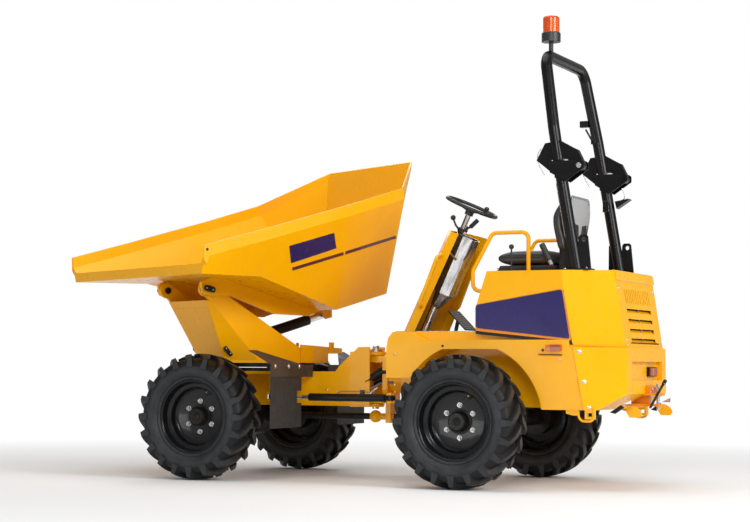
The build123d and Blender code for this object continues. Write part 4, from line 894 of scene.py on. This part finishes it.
def seat_shell():
    """Bowed grey shell with two dark vents and a rolled rim."""
    shell = Shape("seat_shell", "grey_plastic", "plastic", "dark")
    heights = [SHELL_FOOT + (SHELL_TOP - SHELL_FOOT) * k / 16 for k in range(17)]
    rings = []
    for z in heights:
        x, half = shell_x(z), shell_half(z)
        across = [-1 + 2 * i / 24 for i in range(25)]
        ring = [(x - SHELL_BOW * (1 - w ** 4) + 4, half * w, z) for w in across]
        rings.append(ring + [(x + 26, half * 0.96, z), (x + 26, -half * 0.96, z)])
    shell.loft(rings)
    x = shell_x(1760)
    for way in (1, -1):
        shell.box((x - 18, way * 84 - 52, 1702), (x - 6, way * 84 + 52, 1817), 2)
    rim = [(shell_x(z) + 5, shell_half(z) + 3, z) for z in heights]
    over = [(shell_x(SHELL_TOP) + 5, y, 1996) for y in (160, -160)]
    shell.tube(rim + over + [(x, -y, z) for x, y, z in reversed(rim)], 8, 1, 10)
    shell.done("rear", 2)


def seat():
    """Cushion and back, the piping, the shell behind, the suspension skirt and the side lever."""
    pad("seat_cushion_pad", cushion_section, 390, ["seat_cushion"], 118, 9)
    pad("seat_back_pad", backrest_section, 372, ["seat_back"], 112, 8)
    piping = Shape("seat_piping", "plastic")
    edge = rounded([(-432, -221), (-56, -221), (-56, 221), (-432, 221)], 46, 6)
    piping.tube([(x, y, 1579) for x, y in edge], 4.5, 0, 10, True)
    piping.done("rear")
    seat_shell()
    mount = Shape("seat_mount", "plastic", "black_satin", "grey_plastic")
    mount.box((-560, -118, 1466), (-470, 118, 1640))
    mount.prism([(-452, 1466), (-60, 1466), (-44, 1496), (-60, 1524), (-452, 1524)], -196, 196)
    for z in (1478, 1490, 1502):
        mount.prism([(-458, z), (-36, z), (-36, z + 5), (-458, z + 5)], -202, 202, 1)
    mount.rod((-386, 242, 1668), (-444, 242, 1552), 21, 0, 20, 6)
    mount.box((-424, 206, 1596), (-390, 236, 1624), 1)
    mount.rod((-440, 242, 1558), (-462, 242, 1516), 13, 2, 16, 4)
    mount.done("rear", 3)


# ---- skip
CORNER_Y = 957  # outer face of the rim at its front corners
NOSE = ((373, 856), (593, 1290))  # front face of the swivel frame, in x and z
PROBE = 4  # how far to either side the slope of a wall is felt
BURIED = 2  # how deep a mark's underside lies in the wall
KEEPERS = ((606, 331, 1370, 0.22, 28, 21), (368, 212, 922, 0.75, 27, 20))  # where, lean, reach, radius
KEEPER_THICK = 9


def wall_finder(name, frame):
    """A function that gives the point of a node's left outer wall at x and z of a frame."""
    part = NODES[name]
    to_frame = frame.inverted() @ part.matrix_world
    walls = BVHTree.FromPolygons([to_frame @ v.co for v in part.data.vertices],
                                 [list(p.vertices) for p in part.data.polygons])

    def find(x, z):
        return walls.ray_cast(Vector((x * MM, 2.0, z * MM)), Vector((0, -1, 0)))[0] / MM
    return find


def patch(shape, wall_point, corners, across, up, lift, mat, side):
    """Thin sheet laid on the wall over a four-cornered outline in x and z; side -1 is the right wall."""
    a, b, c, d = [Vector(p) for p in corners]
    tops, lows = [], []
    for j in range(up + 1):
        t = j / up
        tops.append([])
        lows.append([])
        for i in range(across + 1):
            s = i / across
            p = (a * (1 - s) + b * s) * (1 - t) + (d * (1 - s) + c * s) * t
            q = wall_point(p.x, p.y)
            dx = wall_point(p.x + PROBE, p.y) - wall_point(p.x - PROBE, p.y)
            dz = wall_point(p.x, p.y + PROBE) - wall_point(p.x, p.y - PROBE)
            n = dz.cross(dx).normalized()
            if n.y < 0:
                n = -n
            for layer, r in ((tops, q + n * lift), (lows, q - n * BURIED)):
                layer[-1].append(shape.bm.verts.new(Vector((r.x, r.y * side, r.z)) * MM))
    faces = []
    for j in range(up):
        for i in range(across):
            faces.append((tops[j][i], tops[j][i + 1], tops[j + 1][i + 1], tops[j + 1][i]))
            faces.append((lows[j][i], lows[j + 1][i], lows[j + 1][i + 1], lows[j][i + 1]))
        faces.append((tops[j][0], tops[j + 1][0], lows[j + 1][0], lows[j][0]))
        faces.append((tops[j][across], lows[j][across], lows[j + 1][across], tops[j + 1][across]))
    for i in range(across):
        faces.append((tops[0][i], lows[0][i], lows[0][i + 1], tops[0][i + 1]))
        faces.append((tops[up][i], tops[up][i + 1], lows[up][i + 1], lows[up][i]))
    for f in faces:
        shape.bm.faces.new(f).material_index = mat


def skip_marks():
    """Blank navy label and the stripe that runs under it, on both walls, and the corner plates."""
    shape = Shape("skip_marks", "navy", "maroon", frame=TIPPED)
    wall = wall_finder("skip_shell", TIPPED)
    for side in (1, -1):
        patch(shape, wall, [(247, 1585), (-157, 1601), (-197, 1482), (208, 1455)], 18, 6, 1.6, 0, side)
        patch(shape, wall, [(193, 1421), (-270, 1440), (-275, 1417), (185, 1397)], 18, 1, 1.2, 1, side)
        patch(shape, wall, [(-290, 1441), (-790, 1461), (-795, 1439), (-290, 1417)], 18, 1, 1.2, 1, side)
    shape.done("skip")
    corner = Shape("skip_corner_plates", "yellow", "dark", frame=TIPPED)
    for side in (1, -1):
        y = side * CORNER_Y
        corner.prism([(972, 1734), (900, 1736), (896, 1716), (984, 1600), (992, 1640)], y, y + side * 7)
        corner.lathe((952, y + side * 7, 1702), (0, side, 0), [(-1, 12), (0.6, 12), (0.8, 9)], 1, 20)
    corner.done("skip", 1)


def capsule(shape, where, reach, radius, lean, depth, mat):
    """Rounded keeper plate in a plane square to y."""
    x, y, z = where
    outline = []
    for end in (1, -1):
        for k in range(9):
            a = -pi / 2 + pi * k / 8 + (0 if end > 0 else pi)
            px, pz = end * reach + radius * cos(a), radius * sin(a)
            outline.append((x + px * cos(lean) - pz * sin(lean),
                            z + px * sin(lean) + pz * cos(lean)))
    shape.prism(outline, y, y + depth, mat)


def swivel_fittings():
    """Keeper plates on the pins of the swivel, and the plate that closes the nose."""
    keep = Shape("pin_keepers", "black_satin", "steel", frame=SWUNG)
    for side in (1, -1):
        out = (0, side, 0)
        for x, y, z, lean, reach, radius in KEEPERS:
            capsule(keep, (x, side * y, z), reach, radius, lean, side * KEEPER_THICK, 0)
            for run in (reach - 1, 1 - reach):
                spot = (x + run * cos(lean), side * (y + KEEPER_THICK), z + run * sin(lean))
                keep.dome(spot, out, 5.5, 3, 1)
        head = (TIP_PIVOT[0], side * 262, TIP_PIVOT[1])
        keep.lathe(head, (0, -side, 0), [(-2, 25), (10, 25), (13, 22)], 0, 28)
    keep.done("swivel", 1.5)
    nose = Shape("nose_plate", "yellow", frame=SWUNG)
    low, high = edge_x(NOSE, 880) - 1, edge_x(NOSE, 1240) - 1
    nose.slab([(low, -178, 880), (low, 178, 880), (high, 246, 1240), (high, -246, 1240)], (2.8, 0, -1.4))
    nose.done("swivel")


# ---- roll-over frame
LEG_FOOT = (-722, 1465)
LEG_LEAN = 0.17
LEG_Y = 470
COIL_POINTS = 130
COIL_ROUND = 13  # points to a turn


def leg_x(z):
    """Middle line of the frame's legs."""
    return LEG_FOOT[0] + LEG_LEAN * (z - LEG_FOOT[1])


def rops_detail():
    """Latch wires, springs, foot bolts and cable of the folding frame, and the fittings of its hoop."""
    shape = Shape("rops_fittings", "steel", "black_satin", "dull_steel")
    for way in (-1, 1):
        y = way * LEG_Y
        shape.tube(arc(flat(y, (-470, 2300), (-440, 2262), (-444, 2200), (-492, 2118)), 24), 3.2, 0, 8)
        shape.bolt((-755, y + way * 54, 2168), (0, way, 0), 12)
        coil = []
        for k in range(COIL_POINTS):
            a = k * 2 * pi / COIL_ROUND
            t = k / (COIL_POINTS - 1)
            turn = Vector((cos(a) * 6.5, sin(a) * 6.5, cos(a) * 2))
            coil.append(Vector((-702 - 26 * t, y, 2292 - 44 * t)) + turn)
        shape.tube(coil, 1.6, 0, 6)
        for x in (-806, -654):
            for dy in (-44, 44):
                shape.bolt((x, y + dy, 1473), UP, 10)
    shape.tube(arc([(leg_x(z) + 44, 466, z) for z in (1500, 1700, 1900, 2060)], 40), 5, 1, 8)
    shape.tube(arc(flat(-LEG_Y, (-690, 2000), (-760, 2030), (-735, 2107)), 20), 3, 1, 8)
    shape.prism([(-689, 2009), (-702, 1955), (-800, 2018), (-791, 2026)], -500, -440, 1)
    shape.box((leg_x(1960) - 20, -430, 1930), (leg_x(1960) + 26, -402, 2010), 1)
    shape.done("rear", 0.8)
    upper = Shape("hoop_fittings", "black_satin", "plastic")
    upper.box((leg_x(2574) + 34, -446, 2552), (leg_x(2574) + 96, -404, 2598))
    upper.rod((leg_x(2560) + 62, -432, 2540), (leg_x(2460) + 30, -448, 2446), 7, 1, 14, 2)
    upper.box((leg_x(2440) + 30, -470, 2430), (leg_x(2440) + 44, -434, 2462))
    upper.done("rops_hoop", 3)


# ---- controls, centre joint and bolts
RING_X, RING_R, RING_FACE = 2026, 338, 776  # bolt circle of the slewing ring and its underside


def controls():
    """Catches of the shroud, boots of the levers, the wheel's spinner knob and the pedal's tread."""
    trim = Shape("shroud_catches", "dark", "steel", "black_satin")
    trim.prism([(387, 1651), (372, 1656), (310, 1580), (325, 1574)], 92, 102, 1)
    trim.prism([(269, 1574), (262, 1571), (191, 1672), (198, 1675)], 84, 88)
    trim.done("rear", 0.6, 1)
    boots = Shape("lever_boots", "rubber", "plastic", "grey_plastic")
    folds = [(-6, 24), (6, 24), (14, 19), (17, 21), (24, 15), (27, 17), (36, 9)]
    for a, b in (((310, 26, 1786), (322, 62, 1826)), ((300, -14, 1798), (286, -26, 1824))):
        boots.lathe(a, Vector(b) - Vector(a), folds, 0, 20)
    boots.rod((-186, 300, 1466), (-186, 300, 1622), 5.2, 2, 12)
    boots.done("rear")
    knob = Shape("spinner_knob", "plastic")
    knob.rod((98, 100, 1895), (82, 100, 1930), 7, 0, 14)
    ball = [(0, 0), (1, 11), (8, 17), (18, 18), (27, 13), (31, 0)]
    knob.lathe((86, 100, 1921), (-0.415, 0, 0.91), ball, 0, 22)
    knob.done("steering_wheel")
    tread = Shape("pedal_tread", "grey_plastic", "plastic")
    slope = Vector((135, 0, 137)).normalized()
    lift = Vector((-0.712, 0, 0.702))
    base = Vector((303, 0, 1085))

    def bar(s0, s1, y0, y1, low, high, mat):
        corners = ((s0, y0), (s1, y0), (s1, y1), (s0, y1))
        foot = [base + slope * s + lift * low + Vector((0, y, 0)) for s, y in corners]
        tread.slab(foot, lift * (high - low), mat)

    bar(4, 188, -246, -54, -0.5, 1.6, 0)
    for k in range(9):
        for y0, y1 in ((-240, -156), (-144, -60)):
            bar(12 + 20 * k, 22 + 20 * k, y0, y1, 0, 2.6, 1)
    tread.done("rear")


def hose(name, mat, points, radius, sides):
    """Hose laid as a tube on no body, its placement baked into the mesh."""
    shape = Shape(name, mat)
    shape.tube(points, radius, 0, sides)
    o = shape.done(None)
    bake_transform(o)


def centre_joint():
    """Hoses that cross the pivot, its nut, and the pipes and clamp of the steering cylinder."""
    for index, (y, z) in enumerate(((84, 806), (108, 776), (-84, 806), (-108, 776))):
        points = arc([(840, y, z), (905, y, z - 4), (1000, y * 1.12, z - 66), (1090, y, z - 104),
                      (1160, y, z - 108)], 70, 14)
        hose(f"centre_hose_{index}", "hose", points, 13, 14)
    pipes = Shape("steering_pipes", "steel", "black_satin", "dull_steel")
    y = 300
    pipes.tube(arc(flat(y, (890, 618), (905, 632), (955, 634), (1142, 634), (1160, 614)), 16), 5, 2)
    pipes.box((944, y - 12, 610), (972, y + 12, 645), 1)
    pipes.rod((900, y, 618), (842, y - 6, 664), 7, 0, 14)
    pipes.lathe((872, y - 3, 640), (-0.78, -0.08, 0.62), [(-10, 10), (10, 10)], 0, 6)
    pipes.done("steer_barrel")
    sag = [(810, 96, 700), (900, 96, 700), (995, 118, 640), (1090, 96, 690), (1190, 96, 700)]
    hose("centre_grey_hose", "grey_hose", arc(sag, 80, 12), 9, 12)
    pins = Shape("pivot_nuts", "steel")
    pins.bolt((995, 0, 922), UP, 17)
    pins.done("yoke")


def front_bolts():
    """Bolts on the brackets of the front flaps, on the front frame and under the slewing ring."""
    shape = Shape("front_bolts", "steel", "dull_steel")
    for way in (-1, 1):
        for y in (340, 500, 700):
            shape.bolt((1452, way * y, 812), BACK, 11)
        for x, z in ((1330, 640), (1330, 560), (1460, 600)):
            shape.dome((x, way * 131, z), (0, way, 0), 9, 6)
    for k in range(20):
        a = 2 * pi * (k + 0.5) / 20
        spot = (RING_X + RING_R * cos(a), RING_R * sin(a), RING_FACE)
        shape.bolt(spot, (0, 0, -1), 9, 1, False)
    shape.done("front")


def tail_seams():
    """Joint between the engine cover and the tail casing, on the facets and across the rear."""
    shape = Shape("cover_joint", "orange", "dark")
    down = Vector((0, 0, -4))
    for way in (1, -1):
        out = Vector((-0.462, way * 0.887, 0))
        a = Vector((-735, way * 600, 966)) - out * 2
        b = Vector((-1049, way * 437, 953)) - out * 2
        shape.slab([a, b, b + down, a + down], out * 2.9)
    across = leaning((1205, 12, 1212), (1330, 12, 1335), (1330, 16, 1335), (1205, 16, 1212))
    shape.prism(across, -300, 300, 1)
    shape.done("rear")


tail_seams()
seat()
skip_marks()
swivel_fittings()
rops_detail()
controls()
centre_joint()
front_bolts()


# ---- stage, light and camera
def mixed_shaders(factor, a, b, out):
    """Sends the mix of two shaders to the output."""
    mix = node(factor.id_data, "MixShader")
    for k, socket in enumerate((factor, a.outputs[0], b.outputs[0])):
        link(socket, mix.inputs[k])
    link(mix.outputs[0], out.inputs["Surface"])


def stage():
    """Pale floor that takes the shadow round the machine and fades to white further out."""
    bpy.ops.mesh.primitive_plane_add(size=120, location=(0, 0, -0.0005))
    floor = bpy.context.object
    floor.name = "floor"
    m, tree, p = new_material("pale_floor")
    setting(p, Base_Color=(0.86, 0.86, 0.86, 1), Roughness=0.75, Specular_IOR_Level=0.1)
    far = spread(length(coordinates(tree)), 3.2, 7.0)
    path = node(tree, "LightPath")
    seen = combined("MAXIMUM", path.outputs["Is Camera Ray"], path.outputs["Is Glossy Ray"])
    white = node(tree, "Emission", Strength=1.0)
    mixed_shaders(combined("MULTIPLY", seen, far), p, white, tree.nodes["Material Output"])
    floor.data.materials.append(m)


def area(name, where, aim, size, power):
    data = bpy.data.lights.new(name, "AREA")
    data.shape = "RECTANGLE"
    data.size, data.size_y = size
    data.energy = power
    o = placed(name, data)
    o.location = where
    o.rotation_euler = (Vector(aim) - Vector(where)).to_track_quat("-Z", "Y").to_euler()


def lights():
    """Soft white room that the camera sees as plain white, and five area lights."""
    world = bpy.data.worlds.new("studio")
    bpy.context.scene.world = world
    world.use_nodes = True
    tree = world.node_tree
    soft = tree.nodes["Background"]
    setting(soft, Color=(1, 1, 1, 1), Strength=0.34)
    white = node(tree, "Background", Color=(1, 1, 1, 1))
    camera_ray = node(tree, "LightPath").outputs["Is Camera Ray"]
    mixed_shaders(camera_ray, soft, white, tree.nodes["World Output"])
    area("key", (-9.5, 2.6, 4.6), (-0.6, 0, 1.0), (4.0, 4.0), 560)
    area("top", (0.2, 1.0, 7.5), (0, 0, 0.8), (7.0, 5.0), 260)
    area("side", (-5.5, 10.5, 5.6), (0.3, 0, 1.0), (4.0, 3.0), 380)
    area("back", (3.5, -7.0, 5.0), (0, 0, 1.0), (5.0, 4.0), 180)
    area("low", (2.6, 8.5, 0.6), (1.0, 0.6, 1.3), (4.0, 1.0), 60)


LENS = 85.277  # millimetres, on a 36 mm sensor
CAMERA = (-4.687925, 11.759577, 0.825016)  # metres from the rear axle's foot
YAW, PITCH, ROLL = 0.4510950, 0.0584734, 0.0057244


def camera():
    data = bpy.data.cameras.new("camera")
    data.sensor_width = 36.0
    data.lens = LENS
    data.clip_end = 200.0
    o = placed("camera", data)
    ahead = Vector((sin(YAW) * cos(PITCH), -cos(YAW) * cos(PITCH), sin(PITCH)))
    right = Vector((-cos(YAW), -sin(YAW), 0.0))
    up = right.cross(ahead)
    right, up = (right * cos(ROLL) + up * sin(ROLL), up * cos(ROLL) - right * sin(ROLL))
    o.matrix_world = Matrix((
        (right.x, up.x, -ahead.x, AXLE_X + CAMERA[0]),
        (right.y, up.y, -ahead.y, MID_Y + CAMERA[1]),
        (right.z, up.z, -ahead.z, CAMERA[2]),
        (0, 0, 0, 1)))
    bpy.context.scene.camera = o


stage()
lights()
camera()
bpy.context.scene.view_settings.view_transform = "Standard"
